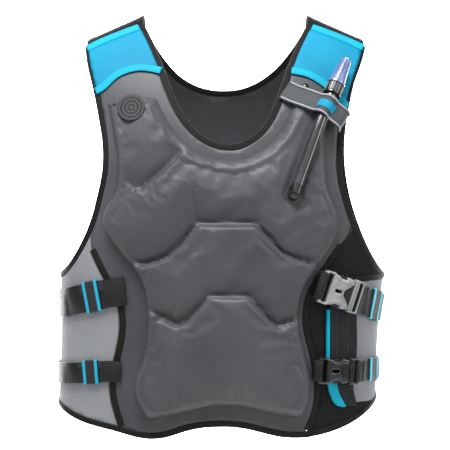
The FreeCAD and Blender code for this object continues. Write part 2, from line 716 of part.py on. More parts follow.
# ---------------------------------------------------------------- side release buckles
g, wall, thick = cell("buckle_gap"), cell("buckle_wall"), cell("buckle_thick")
side_wall, slot_play = cell("side_wall"), 0.5
socket_length, bar_slot, bar_size = cell("socket_length"), cell("bar_slot"), cell("bar_size")
plug_base, plug_slot, plug_bar = cell("plug_base"), cell("plug_slot"), cell("plug_bar")
eye_radius, arm_thick, window_start = cell("eye_radius"), cell("arm_thick"), cell("window_start")
eye_x = g + eye_radius + 0.5
inside = (wall + g, thick - wall - g)
X_EDGES = runs_along(X)


def bar_frame(body, webbing, x_slot, slot, bar, direction):
    """Frame that the webbing loops round: a slot and, beyond it, a bar."""
    outer, throat = webbing / 2 + slot_play + side_wall, webbing / 2 + slot_play
    middle = thick / 2
    near, far = (x_slot, x_slot + slot + bar) if direction > 0 else (x_slot - slot - bar, x_slot)
    opening_x = (x_slot, x_slot + slot) if direction > 0 else (x_slot - slot, x_slot)
    block(body, "Pad", (near, far), (-outer, outer), (middle - bar / 2, middle + bar / 2))
    block(body, "Pocket", opening_x, (-throat, throat), (middle - bar, middle + bar))


def socket(label, webbing):
    body = new_body(label)
    outer, throat = webbing / 2 + slot_play + side_wall, webbing / 2 + slot_play
    block(body, "Pad", (-socket_length, Size(0)), (-outer, outer), (Size(0), thick))
    round_edges(body, wall * 1.2, X_EDGES)
    bar_frame(body, webbing, -socket_length, bar_slot, bar_size, -1)
    block(body, "Pocket", (wall - socket_length, Size(1)), (-throat, throat), (wall, thick - wall))
    window = (-window_start - cell("window_length"), -window_start)
    block(body, "Pocket", window, (-outer - 1, outer + 1), (wall, thick - wall))
    return body


def plug(label, webbing):
    body = new_body(label)
    outer, throat = webbing / 2 + slot_play + side_wall, webbing / 2 + slot_play
    eye_y = throat - g - arm_thick / 2
    block(body, "Pad", (g, g + plug_base), (-outer, outer), (Size(0), thick))
    round_edges(body, wall * 1.2, X_EDGES)
    half_tongue = cell("tongue_width") / 2
    block(body, "Pad", (-cell("tongue_length"), g + 1), (-half_tongue, half_tongue), inside)
    bar_frame(body, webbing, g + plug_base, plug_slot, plug_bar, 1)
    eye_pocket = (g - 1, eye_x + eye_radius + g)
    for low, high in ((eye_y - eye_radius - g, outer + 1), (-outer - 1, g + eye_radius - eye_y)):
        block(body, "Pocket", eye_pocket, (low, high), (wall, thick - wall))
    pins = circles(body, [(eye_x, eye_y), (eye_x, -eye_y)], cell("pin_radius"), wall - 0.5)
    extrude(body, "Pad", pins, thick - wall * 2 + 1)
    return body


def latch_arm(label, webbing, sign):
    """Sprung arm that turns on the plug's pin; its pad stands in the socket's window."""
    body = new_body(label)
    face = webbing / 2 + slot_play - g
    back, pad = face - arm_thick, face + cell("pad_bulge")
    eye_y = face - arm_thick / 2
    start = -window_start
    outline = [(eye_x, face), (start - 0.3, face), (start - 11, pad), (start - 12.4, pad - 1),
               (start - 12.8, back + 0.6), (start - 12.2, back), (eye_x, back)]
    corners = [(x, y * sign) for x, y in outline]
    extrude(body, "Pad", polygon(body, corners, lift=inside[0]), inside[1] - inside[0])
    eye = [(eye_x, eye_y * sign)]
    extrude(body, "Pad", circles(body, eye, eye_radius, inside[0]), inside[1] - inside[0])
    extrude(body, "Pocket", circles(body, eye, cell("pin_radius") + cell("pin_gap"), inside[1] + 1), thick)
    return body


STRAP_RISE = ON_PANEL + float(cell("keeper_thick")) + float(cell("keeper_gap")) + WEB / 2
KEEPER_REACH = float(cell("keeper_length")) / 2 + float(cell("keeper_travel")) + 1.5


def keeper(label, webbing, place):
    """Elastic loop round the webbing, free to slide along it."""
    body = new_body(label)
    half_long, gap, skin = cell("keeper_length") / 2, cell("keeper_gap"), cell("keeper_thick")
    inner_y, inner_z = webbing / 2 + gap, cell("webbing_thick") / 2 + gap
    outer_y, outer_z = inner_y + skin, inner_z + skin
    block(body, "Pad", (-half_long, half_long), (-outer_y, outer_y), (-outer_z, outer_z))
    block(body, "Pocket", (-half_long - 1, half_long + 1), (-inner_y, inner_y), (-inner_z, inner_z))
    body.Placement = place
    return body


def loop_round(bar_x, bar, direction):
    """Half turn of the webbing's centre line round a bar, in the buckle's XZ plane, top to bottom."""
    radius = float(bar) * math.sqrt(0.5) + 0.3 + WEB / 2
    turns = [math.pi * k / 8 for k in range(9)]
    return [Vector(bar_x + direction * radius * math.sin(a), 0, float(thick) / 2 + radius * math.cos(a))
            for a in turns], radius


def strap(label, points, sides, width):
    """Webbing along key points; each side vector is blended between the keys."""
    line = smooth_line(points, 110)
    spots = []
    for p in line:
        nearest = min(range(len(points)), key=lambda k: (points[k] - p).Length)
        spots.append(sides[nearest])
    for _ in range(6):
        spots = [(spots[max(i - 1, 0)] + spots[i] + spots[min(i + 1, len(spots) - 1)]).normalize()
                 for i in range(len(spots))]
    return soft(label, ribbon(line, spots, width, WEB))


def torso_frame(x, z, aim_x, aim_z, rise, side=FRONT):
    """Frame on the torso at x, z of the front view, with X towards another point of the view."""
    angle, height = seen_at(x * GRADE_X, z * GRADE_Z, side)
    origin = on_torso(angle, height, rise)
    up = outward(angle, height)
    aim = on_torso(*seen_at(aim_x * GRADE_X, aim_z * GRADE_Z, side), rise) - origin
    return frame(origin, aim - up * aim.dot(up), up)


def straight_zone(place):
    """Ends and middle of the straight run of webbing that a keeper slides on."""
    return [place.multVec(X * (KEEPER_REACH * share)) for share in (-1, -0.5, 0, 0.5, 1)]


def on_side(first, last, count):
    """Points and side vectors along the torso at the strap's height, from one (angle, z) to another."""
    points, sides = [], []
    for i in range(count):
        share = i / (count - 1)
        angle, z = (first[k] + (last[k] - first[k]) * share for k in (0, 1))
        turn = math.copysign(0.01, last[0] - first[0])
        ahead = on_torso(angle + turn, z) - on_torso(angle, z)
        points.append(on_torso(angle, z, STRAP_RISE))
        sides.append(outward(angle, z).cross(ahead).normalize())
    return points, sides


def right_strap(name, webbing, front_x, front_z, keeper_x, keeper_z, side_z):
    """Webbing on the wearer's right side: front end, keeper, round the side, rear seam."""
    aim_z = keeper_z + (side_z - keeper_z) * 0.6
    keeper_frame = torso_frame(keeper_x, keeper_z, keeper_x - 30, aim_z, STRAP_RISE)
    zone = straight_zone(keeper_frame)
    start_frame = torso_frame(front_x, front_z, keeper_x, keeper_z, STRAP_RISE)
    height = side_z * GRADE_Z
    around, around_sides = on_side((math.radians(-168), height), (math.radians(-200), height), 7)
    points = [start_frame.Base, *zone, *around]
    sides = [frame_axis(start_frame, Y)] + [frame_axis(keeper_frame, Y)] * 5 + around_sides
    strap(f"{name}_strap_right", points, sides, float(webbing) - 1)
    keeper(f"{name}_keeper_right", webbing, keeper_frame)
    FRAMES[f"{name}_keeper_right"] = keeper_frame


right_strap("upper", cell("wide_webbing"), -134, 206, -180, 198, 186)
right_strap("lower", cell("narrow_webbing"), -141, 95, -182, 93, 88)


def buckle(name, webbing, middle_x, middle_z, keeper_x, keeper_z, side_z):
    """Socket, plug, latch arms and all the webbing of one buckle on the wearer's left side."""
    place = torso_frame(middle_x, middle_z, keeper_x, keeper_z, FLAP_OUT + 0.6)
    place = Placement(place.multVec(X * 15), place.Rotation)
    FRAMES[f"{name}_buckle"] = place
    parts = [socket(f"{name}_socket", webbing), plug(f"{name}_plug", webbing)]
    for where, sign in (("top", 1), ("bottom", -1)):
        parts.append(latch_arm(f"{name}_latch_arm_{where}", webbing, sign))
    for body in parts:
        body.Placement = place
    across, width = frame_axis(place, Y), float(webbing) - 1

    bar_x = -float(socket_length + bar_slot + bar_size / 2)
    turn, radius = loop_round(bar_x, bar_size, 1)
    low = float(thick) / 2 - radius
    path = [Vector(bar_x - 8.5, 0, low + 3.8), Vector(bar_x - 4.5, 0, low + 2 * radius - 1.6), *turn,
            Vector(bar_x - 5, 0, low - 0.1), Vector(bar_x - 9, 0, low - 0.2)]
    strap(f"{name}_anchor", [place.multVec(p) for p in path], [-across] * len(path), width)

    bar_x = float(g + plug_base + plug_slot + plug_bar / 2)
    turn, radius = loop_round(bar_x, plug_bar, -1)
    low = float(thick) / 2 - radius
    path = [Vector(bar_x + 12, 0, low + 1.4), Vector(bar_x + 6, 0, low + 4.2), *turn,
            Vector(bar_x + 4, 0, low - 0.3)]
    aim_z = keeper_z - (middle_z - keeper_z) * 0.2
    keeper_frame = torso_frame(keeper_x, keeper_z, keeper_x + 8, aim_z, STRAP_RISE)
    FRAMES[f"{name}_keeper_left"] = keeper_frame
    end, start = (math.radians(-4), side_z * GRADE_Z), (math.radians(-2.4), side_z * GRADE_Z)
    around, around_sides = on_side((math.radians(-7), side_z * GRADE_Z), end, 3)
    points = [place.multVec(p) for p in path] + straight_zone(keeper_frame) + around
    sides = [across] * len(path) + [frame_axis(keeper_frame, Y)] * 5 + around_sides
    strap(f"{name}_strap_front", points, sides, width)
    rear, rear_sides = on_side(start, (math.radians(22), side_z * GRADE_Z), 7)
    strap(f"{name}_strap_rear", rear, rear_sides, width)
    keeper(f"{name}_keeper_left", webbing, keeper_frame)


buckle("upper", cell("wide_webbing"), 152, 205, 205, 185, 179)
buckle("lower", cell("narrow_webbing"), 149, 96, 202, 94, 94)

# ---------------------------------------------------------------- oral inflator
HOSE_PORT, HOSE_BEND, HOSE_AIM = (84, 339), (119, 445), (150, 524)
BEND_RADIUS = 60.0
hose_od = cell("hose_od")
HOSE_LIFT = 27.0


def above(x, z, rise):
    return on_torso(*seen_at(x * GRADE_X, z * GRADE_Z), rise)


port_up = outward(*seen_at(HOSE_PORT[0] * GRADE_X, HOSE_PORT[1] * GRADE_Z))
elbow_height, elbow_reach = cell("elbow_height"), cell("elbow_reach")
port_seat = above(*HOSE_PORT, HOSE_LIFT) - port_up * float(elbow_height)
bend = above(*HOSE_BEND, HOSE_LIFT)
elbow_frame = frame(port_seat, bend - port_seat - port_up * float(elbow_height), port_up)
hose_ahead = frame_axis(elbow_frame, X)
hose_start = elbow_frame.multVec(X * float(elbow_reach) + Z * float(elbow_height))
bend = hose_start + hose_ahead * (bend - hose_start).Length
mouth_ahead = (above(*HOSE_AIM, HOSE_LIFT + 1) - bend).normalize()
HOSE_TAIL = 36.0
mouth_up = mouth_ahead.cross(port_up).cross(mouth_ahead)
mouth_frame = frame(bend + mouth_ahead * HOSE_TAIL, mouth_up, mouth_ahead)
FRAMES["hose_elbow"], FRAMES["mouth"] = elbow_frame, mouth_frame


def hose_wire():
    """Hose centre line: two straight runs joined by a tangent arc."""
    turn = hose_ahead.getAngle(mouth_ahead)
    tangent = BEND_RADIUS * math.tan(turn / 2)
    first, last = bend - hose_ahead * tangent, bend + mouth_ahead * tangent
    inward = (mouth_ahead - hose_ahead).normalize()
    middle = bend + inward * (BEND_RADIUS / math.cos(turn / 2) - BEND_RADIUS)
    print("hose runs", round((first - hose_start).Length, 1), round((mouth_frame.Base - last).Length, 1),
          "bend", round(math.degrees(turn), 1), "degrees at radius", BEND_RADIUS)
    return Part.Wire([Part.makeLine(hose_start, first), Part.Arc(first, middle, last).toShape(),
                      Part.makeLine(last, mouth_frame.Base)])


def swept(wire, radius):
    circle = Part.Wire(Part.makeCircle(radius, hose_start, hose_ahead))
    return wire.makePipeShell([circle], True, False)


wire = hose_wire()
hose = swept(wire, float(hose_od) / 2).cut(swept(wire, float(cell("hose_bore")) / 2)).Solids[0]
section_area = math.pi * (float(hose_od) ** 2 - float(cell("hose_bore")) ** 2) / 4
print("hose volume", round(hose.Volume), "section times length", round(section_area * wire.Length))
soft("inflator_hose", hose)

elbow = new_body("port_elbow")
flange_thick, barb_radius = cell("flange_thick"), cell("hose_bore") / 2 - cell("barb_gap")
turned(elbow, [(Size(0), Size(0)), (cell("flange_radius"), Size(0)), (cell("flange_radius"), flange_thick),
               (hose_od / 2, flange_thick), (hose_od / 2, elbow_height),
               (hose_od / 4, elbow_height + hose_od * 0.4),
               (Size(0), elbow_height + hose_od / 2)])
for radius, near, far in ((hose_od / 2, Size(0), elbow_reach - 0.3),
                          (barb_radius, elbow_reach - 1, elbow_reach + cell("barb_length"))):
    drawing = new_sketch(elbow, "YZ_Plane", near)
    drawing.addGeometry(Part.Circle(Vector(0, float(elbow_height), 0), Vector(0, 0, 1), float(radius)), False)
    place_point(drawing, 0, (Size(0), elbow_height))
    index = drawing.addConstraint(Sketcher.Constraint("Radius", 0, float(radius)))
    drawing.setExpression(f"Constraints[{index}]", radius.text)
    extrude(elbow, "Pad", drawing, far - near)
extrude(elbow, "Pocket", circles(elbow, [(Size(0), Size(0))], cell("barb_bore"), elbow_height), elbow_height)
elbow.Placement = elbow_frame

floor, housing_length = cell("housing_floor"), cell("housing_length")
housing_radius, collar_radius = cell("housing_radius"), cell("collar_radius")
ring_low = cell("collar_height") + cell("running_gap")
ring_high = ring_low + cell("ring_length")
neck_height, neck_radius = ring_high + 0.5, housing_radius - cell("neck_step")
housing = new_body("valve_housing")
turned(housing, [(cell("barb_bore"), -cell("barb_length")), (barb_radius, -cell("barb_length")),
                 (barb_radius, g), (collar_radius, g), (collar_radius, cell("collar_height")),
                 (housing_radius, cell("collar_height")), (housing_radius, neck_height),
                 (neck_radius, neck_height),
                 (neck_radius, housing_length), (cell("chamber_radius"), housing_length),
                 (cell("chamber_radius"), floor),
                 (cell("seat_radius"), floor), (cell("seat_radius"), Size(1)), (cell("barb_bore"), Size(1))])

ring = new_body("lock_ring")
ring_bore = housing_radius + cell("fit_gap")
ring_radius = cell("ring_radius")
turned(ring, [(ring_bore, ring_low), (ring_radius - 0.8, ring_low), (ring_radius, ring_low + 0.8),
              (ring_radius, ring_high - 0.8), (ring_radius - 0.8, ring_high), (ring_bore, ring_high)])
groove = extrude(ring, "Pocket", circles(ring, [(cell("ring_radius") + 0.3, Size(0))], cell("knurl_radius"),
                                         ring_high + 1), cell("ring_length") + 2)
knurl = ring.newObject("PartDesign::PolarPattern", "knurl")
knurl.Originals = [groove]
knurl.Axis = (origin_plane(ring, "Z_Axis"), [""])
knurl.Angle = 360
bind(knurl, "Occurrences", cell("knurl_count"))
ring.Tip = knurl

stem_radius, web_height, web_thick = cell("stem_radius"), cell("web_height"), cell("web_thick")
mouth_radius, mouth_bore = cell("mouth_radius"), cell("mouth_bore")
mouth_top = cell("mouth_height")
mouthpiece = new_body("mouthpiece")
turned(mouthpiece, [(stem_radius + cell("fit_gap"), web_height), (mouth_radius, web_height),
                    (mouth_radius, mouth_top - 3), (mouth_radius - 1, mouth_top), (mouth_bore, mouth_top),
                    (mouth_bore, web_height + web_thick),
                    (stem_radius + cell("fit_gap"), web_height + web_thick)])
vent = circles(mouthpiece, [((mouth_bore + stem_radius) / 2, Size(0))], (mouth_bore - stem_radius) / 2 - 0.5,
               web_height + web_thick + 1)
vents = extrude(mouthpiece, "Pocket", vent, web_thick + 2)
around = mouthpiece.newObject("PartDesign::PolarPattern", "vents")
around.Originals = [vents]
around.Axis = (origin_plane(mouthpiece, "Z_Axis"), [""])
around.Angle = 360
around.Occurrences = 4
mouthpiece.Tip = around

stem = new_body("valve_stem")
disc_low = -cell("disc_thick") - 0.5
turned(stem, [(Size(0), disc_low), (cell("disc_radius"), disc_low), (cell("disc_radius"), Size(-0.5)),
              (stem_radius, Size(-0.5)), (stem_radius, web_height + web_thick - 0.5),
              (Size(0), web_height + web_thick - 0.5)])

cap = new_body("dust_cap")
cap_low = ring_high + 1
cap_wall, cap_base, cap_tip = cell("cap_wall"), cell("cap_base_radius"), cell("cap_tip_radius")
cap_top = cap_low + cell("cap_length")
turned(cap, [(cap_base - cap_wall, cap_low), (cap_base + 0.8, cap_low), (cap_base + 0.8, cap_low + 3),
             (cap_base, cap_low + 3.5), (cap_tip, cap_top - 2), (cap_tip - 2, cap_top),
             (Size(0), cap_top), (Size(0), cap_top - cap_wall * 1.5),
             (cap_tip - cap_wall - 0.6, cap_top - cap_wall * 1.5), (cap_tip - cap_wall, cap_top - 4)])
for body in (housing, ring, mouthpiece, stem, cap):
    body.Placement = mouth_frame


def spring_shape():
    """Flat-wire coil between the housing's floor and the mouthpiece's web."""
    wire, radius, turns = (float(cell(name)) for name in ("spring_wire", "spring_radius", "spring_turns"))
    low, high = float(floor) + wire / 2 + 0.1, float(web_height) - wire / 2 - 0.1
    steps = round(24 * turns)
    angles = [2 * math.pi * turns * k / steps for k in range(steps + 1)]
    sides = [Vector(math.cos(a), math.sin(a), 0) for a in angles]
    points = [side * radius + Z * (low + (high - low) * k / steps) for k, side in enumerate(sides)]
    return ribbon(points, sides, wire, wire)


spring = soft("valve_spring", spring_shape())
spring.Placement = mouth_frame

# ---------------------------------------------------------------- band over the hose, badge and snap
BAND_CROSS = 17.0
band_centre = bend + mouth_ahead * BAND_CROSS
band_up = frame_axis(mouth_frame, X)
band_right = mouth_ahead.cross(band_up)
if band_right.x < 0:
    band_right = -band_right


def band_points():
    """Key points of the band's middle, across the tab and over the hose."""
    radius = float(hose_od) / 2 + 0.8 + float(cell("band_thick")) / 2
    turns = [math.radians(a) for a in (160, 125, 90, 55, 20)]
    over = [band_centre + (band_right * math.cos(turn) + band_up * math.sin(turn)) * radius for turn in turns]
    return [above(84, 466, 11), above(93, 466, 19), above(102, 465, 25), *over, above(146, 451, 22),
            above(152, 441, 16.5)]


def band(width, thickness, lift=0.0, shift=0.0):
    """Strip of the band, lift above the band's middle and shifted along the hose."""
    line = smooth_line(band_points(), 60)
    points = []
    for i, p in enumerate(line):
        ahead = line[min(i + 1, len(line) - 1)] - line[max(i - 1, 0)]
        normal = ahead.cross(mouth_ahead).normalize()
        normal = -normal if normal.dot(band_up) < 0 and abs(normal.dot(band_up)) > 0.2 else normal
        points.append(p + normal * lift + mouth_ahead * shift)
    return ribbon(points, [mouth_ahead] * len(points), width, thickness)


band_width, band_thick = float(cell("band_width")), float(cell("band_thick"))
tube_band = soft("tube_band", band(band_width, band_thick))
piping_width, piping_thick = float(cell("piping_width")), float(cell("piping_thick"))
piping_lift = (band_thick + piping_thick) / 2 + 0.4
piping_shift = band_width / 2 - piping_width
for label, shift in (("band_piping_top", piping_shift), ("band_piping_bottom", -piping_shift)):
    soft(label, clear_of(band(piping_width, piping_thick, piping_lift, shift), tube_band.Shape))

badge_frame = torso_frame(-121, 458, -100, 458, ON_PANEL + 13.5)
badge = new_body("chest_badge")
extrude(badge, "Pad", circles(badge, [(Size(0), Size(0))], cell("badge_radius")), cell("badge_thick"))
badge.Placement = badge_frame
snap_frame = torso_frame(109, 488, 120, 488, ON_PANEL)
snap = new_body("band_snap")
snap_radius, snap_height = cell("snap_radius"), cell("snap_height")
turned(snap, [(Size(0), Size(0)), (snap_radius, Size(0)), (snap_radius, snap_height * 0.4),
              (snap_radius * 0.6, snap_height * 0.8), (Size(0), snap_height)])
snap.Placement = snap_frame

# ---------------------------------------------------------------- checks and files
doc.recompute()
nodes = [thing for thing in doc.Objects if thing.TypeId in ("Part::Feature", "PartDesign::Body")]
for thing in doc.Objects:
    if "Invalid" in thing.State or "Error" in thing.State:
        raise RuntimeError(f"{thing.Label} has not been computed: {thing.State}")
for node in nodes:
    if not node.Shape.isValid() or len(node.Shape.Solids) != 1 or node.Shape.Volume <= 0:
        raise RuntimeError(f"{node.Label} is not one valid solid")
for name, place in FRAMES.items():
    axes = [tuple(round(v, 5) for v in frame_axis(place, axis)) for axis in (X, Y, Z)]
    print("frame", name, [round(v, 3) for v in place.Base], *axes)

os.makedirs("parts", exist_ok=True)
for node in nodes:
    node.Shape.Solids[0].exportStep(f"parts/{node.Label}.step")
print(len(nodes), "nodes")
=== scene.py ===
"""Looks of the inflatable buoyancy vest: every soft piece built on the same torso surface as the frame."""
import bpy
import math
import numpy as np
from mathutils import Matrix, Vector
from mathutils.geometry import delaunay_2d_cdt


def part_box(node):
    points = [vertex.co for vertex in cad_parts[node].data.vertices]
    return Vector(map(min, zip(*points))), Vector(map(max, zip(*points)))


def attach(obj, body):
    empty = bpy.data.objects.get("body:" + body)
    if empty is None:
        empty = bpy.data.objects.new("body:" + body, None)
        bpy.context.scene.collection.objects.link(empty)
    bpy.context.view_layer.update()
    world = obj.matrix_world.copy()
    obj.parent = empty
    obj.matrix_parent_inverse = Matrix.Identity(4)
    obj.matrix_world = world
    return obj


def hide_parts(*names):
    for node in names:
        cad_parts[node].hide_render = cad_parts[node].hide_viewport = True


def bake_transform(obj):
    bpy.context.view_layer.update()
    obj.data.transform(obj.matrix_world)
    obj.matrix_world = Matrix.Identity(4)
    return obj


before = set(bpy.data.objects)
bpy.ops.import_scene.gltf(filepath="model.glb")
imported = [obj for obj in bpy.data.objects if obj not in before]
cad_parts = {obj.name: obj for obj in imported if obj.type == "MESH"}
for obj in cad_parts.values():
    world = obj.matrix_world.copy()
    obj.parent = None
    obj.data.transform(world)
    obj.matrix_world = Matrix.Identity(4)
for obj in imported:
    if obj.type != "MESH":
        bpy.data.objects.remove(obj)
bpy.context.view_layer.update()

MM = 0.001

# ---------------------------------------------------------------- torso surface, millimetres inside
LEVELS = np.array([-20, 60, 150, 240, 330, 410, 480, 540, 585, 625], float)
HALF_WIDTH = [226, 224, 224, 229, 236, 244, 250, 250, 246, 238]
FRONT_DEPTH = [104, 112, 118, 124, 126, 116, 96, 66, 36, 10]
BACK_DEPTH = [100, 104, 110, 116, 118, 110, 90, 60, 32, 8]
CENTRE_X = [-12, -11, -8, -4, 0, 0, 0, 0, 0, 0]
SQUARENESS = 2.5
FRONT, BACK = -1, 1
ANGLE_SCALE = 230.0
PANEL, GAP, PROUD, BINDING, WEB = 3.0, 0.4, 1.0, 9.5, 1.6
ON_PANEL = PANEL + GAP
FLAP_IN = PANEL + PROUD + GAP
FLAP_OUT = FLAP_IN + 2
STRAP_RISE = ON_PANEL + 1.2 + 0.5 + WEB / 2


def smooth(z, values):
    """Smooth interpolation of values over the levels."""
    values = np.array(values, float)
    last = len(LEVELS) - 1
    i = np.clip(np.searchsorted(LEVELS, z) - 1, 0, last - 1)
    low, high = np.maximum(np.arange(last + 1) - 1, 0), np.minimum(np.arange(last + 1) + 1, last)
    slope = (values[high] - values[low]) / (LEVELS[high] - LEVELS[low])
    h = LEVELS[i + 1] - LEVELS[i]
    t = (z - LEVELS[i]) / h
    return ((2 * t**3 - 3 * t**2 + 1) * values[i] + (t**3 - 2 * t**2 + t) * h * slope[i]
            + (-2 * t**3 + 3 * t**2) * values[i + 1] + (t**3 - t**2) * h * slope[i + 1])


def section(z, front):
    """Centre x, half width and depth of the torso at height z."""
    depth = np.where(front, smooth(z, FRONT_DEPTH), smooth(z, BACK_DEPTH))
    return smooth(z, CENTRE_X), smooth(z, HALF_WIDTH), depth


def on_torso(angle, z, rise=0.0):
    """Points at height z, rise above the torso. Angle 0 is +X, -90 degrees is the chest."""
    angle, z, rise = np.broadcast_arrays(*(np.asarray(v, float) for v in (angle, z, rise)))
    c, s = np.cos(angle), np.sin(angle)
    centre, half, depth = section(z, s < 0)
    power = 2 / SQUARENESS
    return np.stack([centre + (half + rise) * np.sign(c) * np.abs(c) ** power,
                     (depth + rise) * np.sign(s) * np.abs(s) ** power, z], -1)


def angle_of(p):
    """Angle of the torso point that lies straight inside or outside each point."""
    centre, half, depth = section(p[..., 2], p[..., 1] < 0)
    power = SQUARENESS / 2
    c = np.sign(p[..., 0] - centre) * np.abs((p[..., 0] - centre) / half) ** power
    return np.arctan2(np.sign(p[..., 1]) * np.abs(p[..., 1] / depth) ** power, c)


def seen_at(points, side=FRONT):
    """(angle, z) of the torso points that the front view shows at (x, z)."""
    points = np.asarray(points, float)
    centre, half, _ = section(points[..., 1], side == FRONT)
    share = np.clip((points[..., 0] - centre) / half, -1, 1)
    angle = side * np.arccos(np.sign(share) * np.abs(share) ** (SQUARENESS / 2))
    return np.stack([angle, points[..., 1]], -1)


def unit(v):
    return v / np.maximum(np.linalg.norm(v, axis=-1, keepdims=True), 1e-12)


def outward(angle, z):
    """Unit vectors that point out of the torso."""
    angle, z = np.asarray(angle, float), np.asarray(z, float)
    across = on_torso(angle + 0.01, z) - on_torso(angle - 0.01, z)
    up = on_torso(angle, z + 1) - on_torso(angle, z - 1)
    return unit(np.cross(across, up))


# ---------------------------------------------------------------- smooth lines
def curve(points, count):
    """Evenly spaced points on a smooth curve through key points of any dimension."""
    p = np.asarray(points, float)
    t = np.r_[0, np.cumsum(np.linalg.norm(np.diff(p, axis=0), axis=1))]
    h = np.diff(t)
    slope = np.diff(p, axis=0) / h[:, None]
    system, right = np.eye(len(t)), np.zeros_like(p)
    for i in range(1, len(t) - 1):
        system[i, i - 1:i + 2] = h[i - 1], 2 * (h[i - 1] + h[i]), h[i]
        right[i] = 6 * (slope[i] - slope[i - 1])
    bend = np.linalg.solve(system, right)
    s = np.linspace(0, t[-1], 40 * len(t))
    i = np.clip(np.searchsorted(t, s) - 1, 0, len(h) - 1)
    a, b, w = (t[i + 1] - s)[:, None], (s - t[i])[:, None], h[i][:, None]
    fine = ((bend[i] * a**3 + bend[i + 1] * b**3) / (6 * w) + (p[i] / w - bend[i] * w / 6) * a
            + (p[i + 1] / w - bend[i + 1] * w / 6) * b)
    return even(fine, count)


def even(line, count):
    """The same line with evenly spaced points."""
    travelled = np.r_[0, np.cumsum(np.linalg.norm(np.diff(line, axis=0), axis=1))]
    at = np.linspace(0, travelled[-1], count)
    return np.stack([np.interp(at, travelled, line[:, k]) for k in range(line.shape[1])], -1)


def unwound(path, about=None):
    """The same (angle, z) without jumps of a whole turn, or each within half a turn of about."""
    path = np.array(path, float)
    if about is None:
        path[:, 0] = np.unwrap(path[:, 0])
    else:
        path[:, 0] -= 2 * np.pi * np.round((path[:, 0] - about) / (2 * np.pi))
    return path


def smooth_path(points, count, about=None):
    """Evenly spaced (angle, z) on a smooth curve through (angle, z)."""
    scale = np.array([ANGLE_SCALE, 1])
    return curve(unwound(points, about) * scale, count) / scale


def ahead_of(line):
    """Unit direction of a line at each of its points."""
    return unit(np.gradient(line, axis=0))


def offset_path(path, distance):
    """Path of (angle, z) moved to the right of its direction along the torso."""
    base = on_torso(*path.T)
    moved = base + unit(np.cross(ahead_of(base), outward(*path.T))) * distance
    return unwound(np.stack([angle_of(moved), moved[:, 2]], -1), None)


# ---------------------------------------------------------------- meshes
def piece(name, points, faces, material, body="vest", stands_for=(), uv=None, slot=None):
    """Mesh object in metres from points in millimetres; uv is in metres, one pair a point."""
    data = bpy.data.meshes.new(name)
    data.from_pydata((np.asarray(points) * MM).tolist(), [], [list(map(int, f)) for f in faces])
    data.polygons.foreach_set("use_smooth", [True] * len(data.polygons))
    if uv is not None:
        layer = data.uv_layers.new(name="UVMap")
        corners = np.zeros(len(data.loops), np.int64)
        data.loops.foreach_get("vertex_index", corners)
        layer.data.foreach_set("uv", np.asarray(uv, np.float32)[corners].ravel())
    data.update()
    thing = bpy.data.objects.new(name, data)
    bpy.context.scene.collection.objects.link(thing)
    if material is not None:
        data.materials.append(material)
    if body:
        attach(thing, body)
    if stands_for:
        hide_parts(*stands_for)
    return thing


def grid_faces(rows, columns, wrap=False):
    i, j = np.meshgrid(np.arange(rows - 1), np.arange(columns if wrap else columns - 1), indexing="ij")
    n = (j + 1) % columns
    return np.stack([i * columns + j, i * columns + n, (i + 1) * columns + n, (i + 1) * columns + j],
                    -1).reshape(-1, 4)


def tube(rings):
    """Points and faces of a closed solid through rings of points, with flat ends."""
    n, m = rings.shape[:2]
    faces = [tuple(f) for f in grid_faces(n, m, True)]
    faces += [tuple(range(m))[::-1], tuple((n - 1) * m + k for k in range(m))]
    return rings.reshape(-1, 3), faces


def rounded(width, thick, radius, corner=4):
    """Closed profile of a rounded rectangle centred on the origin, as (across, up)."""
    out = []
    for cx, cy, start in ((1, 1, 0), (-1, 1, 90), (-1, -1, 180), (1, -1, 270)):
        for a in np.radians(np.linspace(start, start + 90, corner)):
            out.append((cx * (width / 2 - radius) + radius * math.cos(a),
                        cy * (thick / 2 - radius) + radius * math.sin(a)))
    return np.array(out)


def lengths(line):
    return np.r_[0, np.cumsum(np.linalg.norm(np.diff(line, axis=0), axis=1))]


def swept_uv(line, profile):
    """uv of a tube: u across the profile, v along the line, in metres."""
    u, v = np.broadcast_arrays(profile[None, :, 0], lengths(line)[:, None])
    return np.stack([u, v], -1).reshape(-1, 2) * MM


def on_path(name, path, profile, material, **settings):
    """Solid whose profile of (offset to the right, rise) is carried along a path on the torso."""
    base = on_torso(*path.T)
    aside = unit(np.cross(ahead_of(base), outward(*path.T)))
    places = base[:, None] + aside[:, None] * profile[None, :, :1]
    rings = on_torso(angle_of(places), places[..., 2], profile[None, :, 1])
    points, faces = tube(rings)
    return piece(name, points, faces, material, uv=swept_uv(base, profile), **settings)


def ribbon(name, line, sides, width, thick, material, edge=0.45, **settings):
    """Strip of webbing centred on a line, flat across its width along the side vectors."""
    ahead = ahead_of(line)
    normal = unit(np.cross(ahead, sides))
    level = np.cross(normal, ahead)
    profile = rounded(width, thick, thick * edge, 3)
    rings = line[:, None] + level[:, None] * profile[None, :, :1] + normal[:, None] * profile[None, :, 1:]
    points, faces = tube(rings)
    return piece(name, points, faces, material, uv=swept_uv(line, profile), **settings)


def inside(points, outline):
    """Which 2-D points lie inside a closed outline."""
    a, b = outline, np.roll(outline, -1, 0)
    crossed = np.zeros(len(points), bool)
    for (x0, y0), (x1, y1) in zip(a, b):
        if y0 == y1:
            continue
        between = (points[:, 1] < y0) != (points[:, 1] < y1)
        crossed ^= between & (points[:, 0] < (x1 - x0) * (points[:, 1] - y0) / (y1 - y0) + x0)
    return crossed


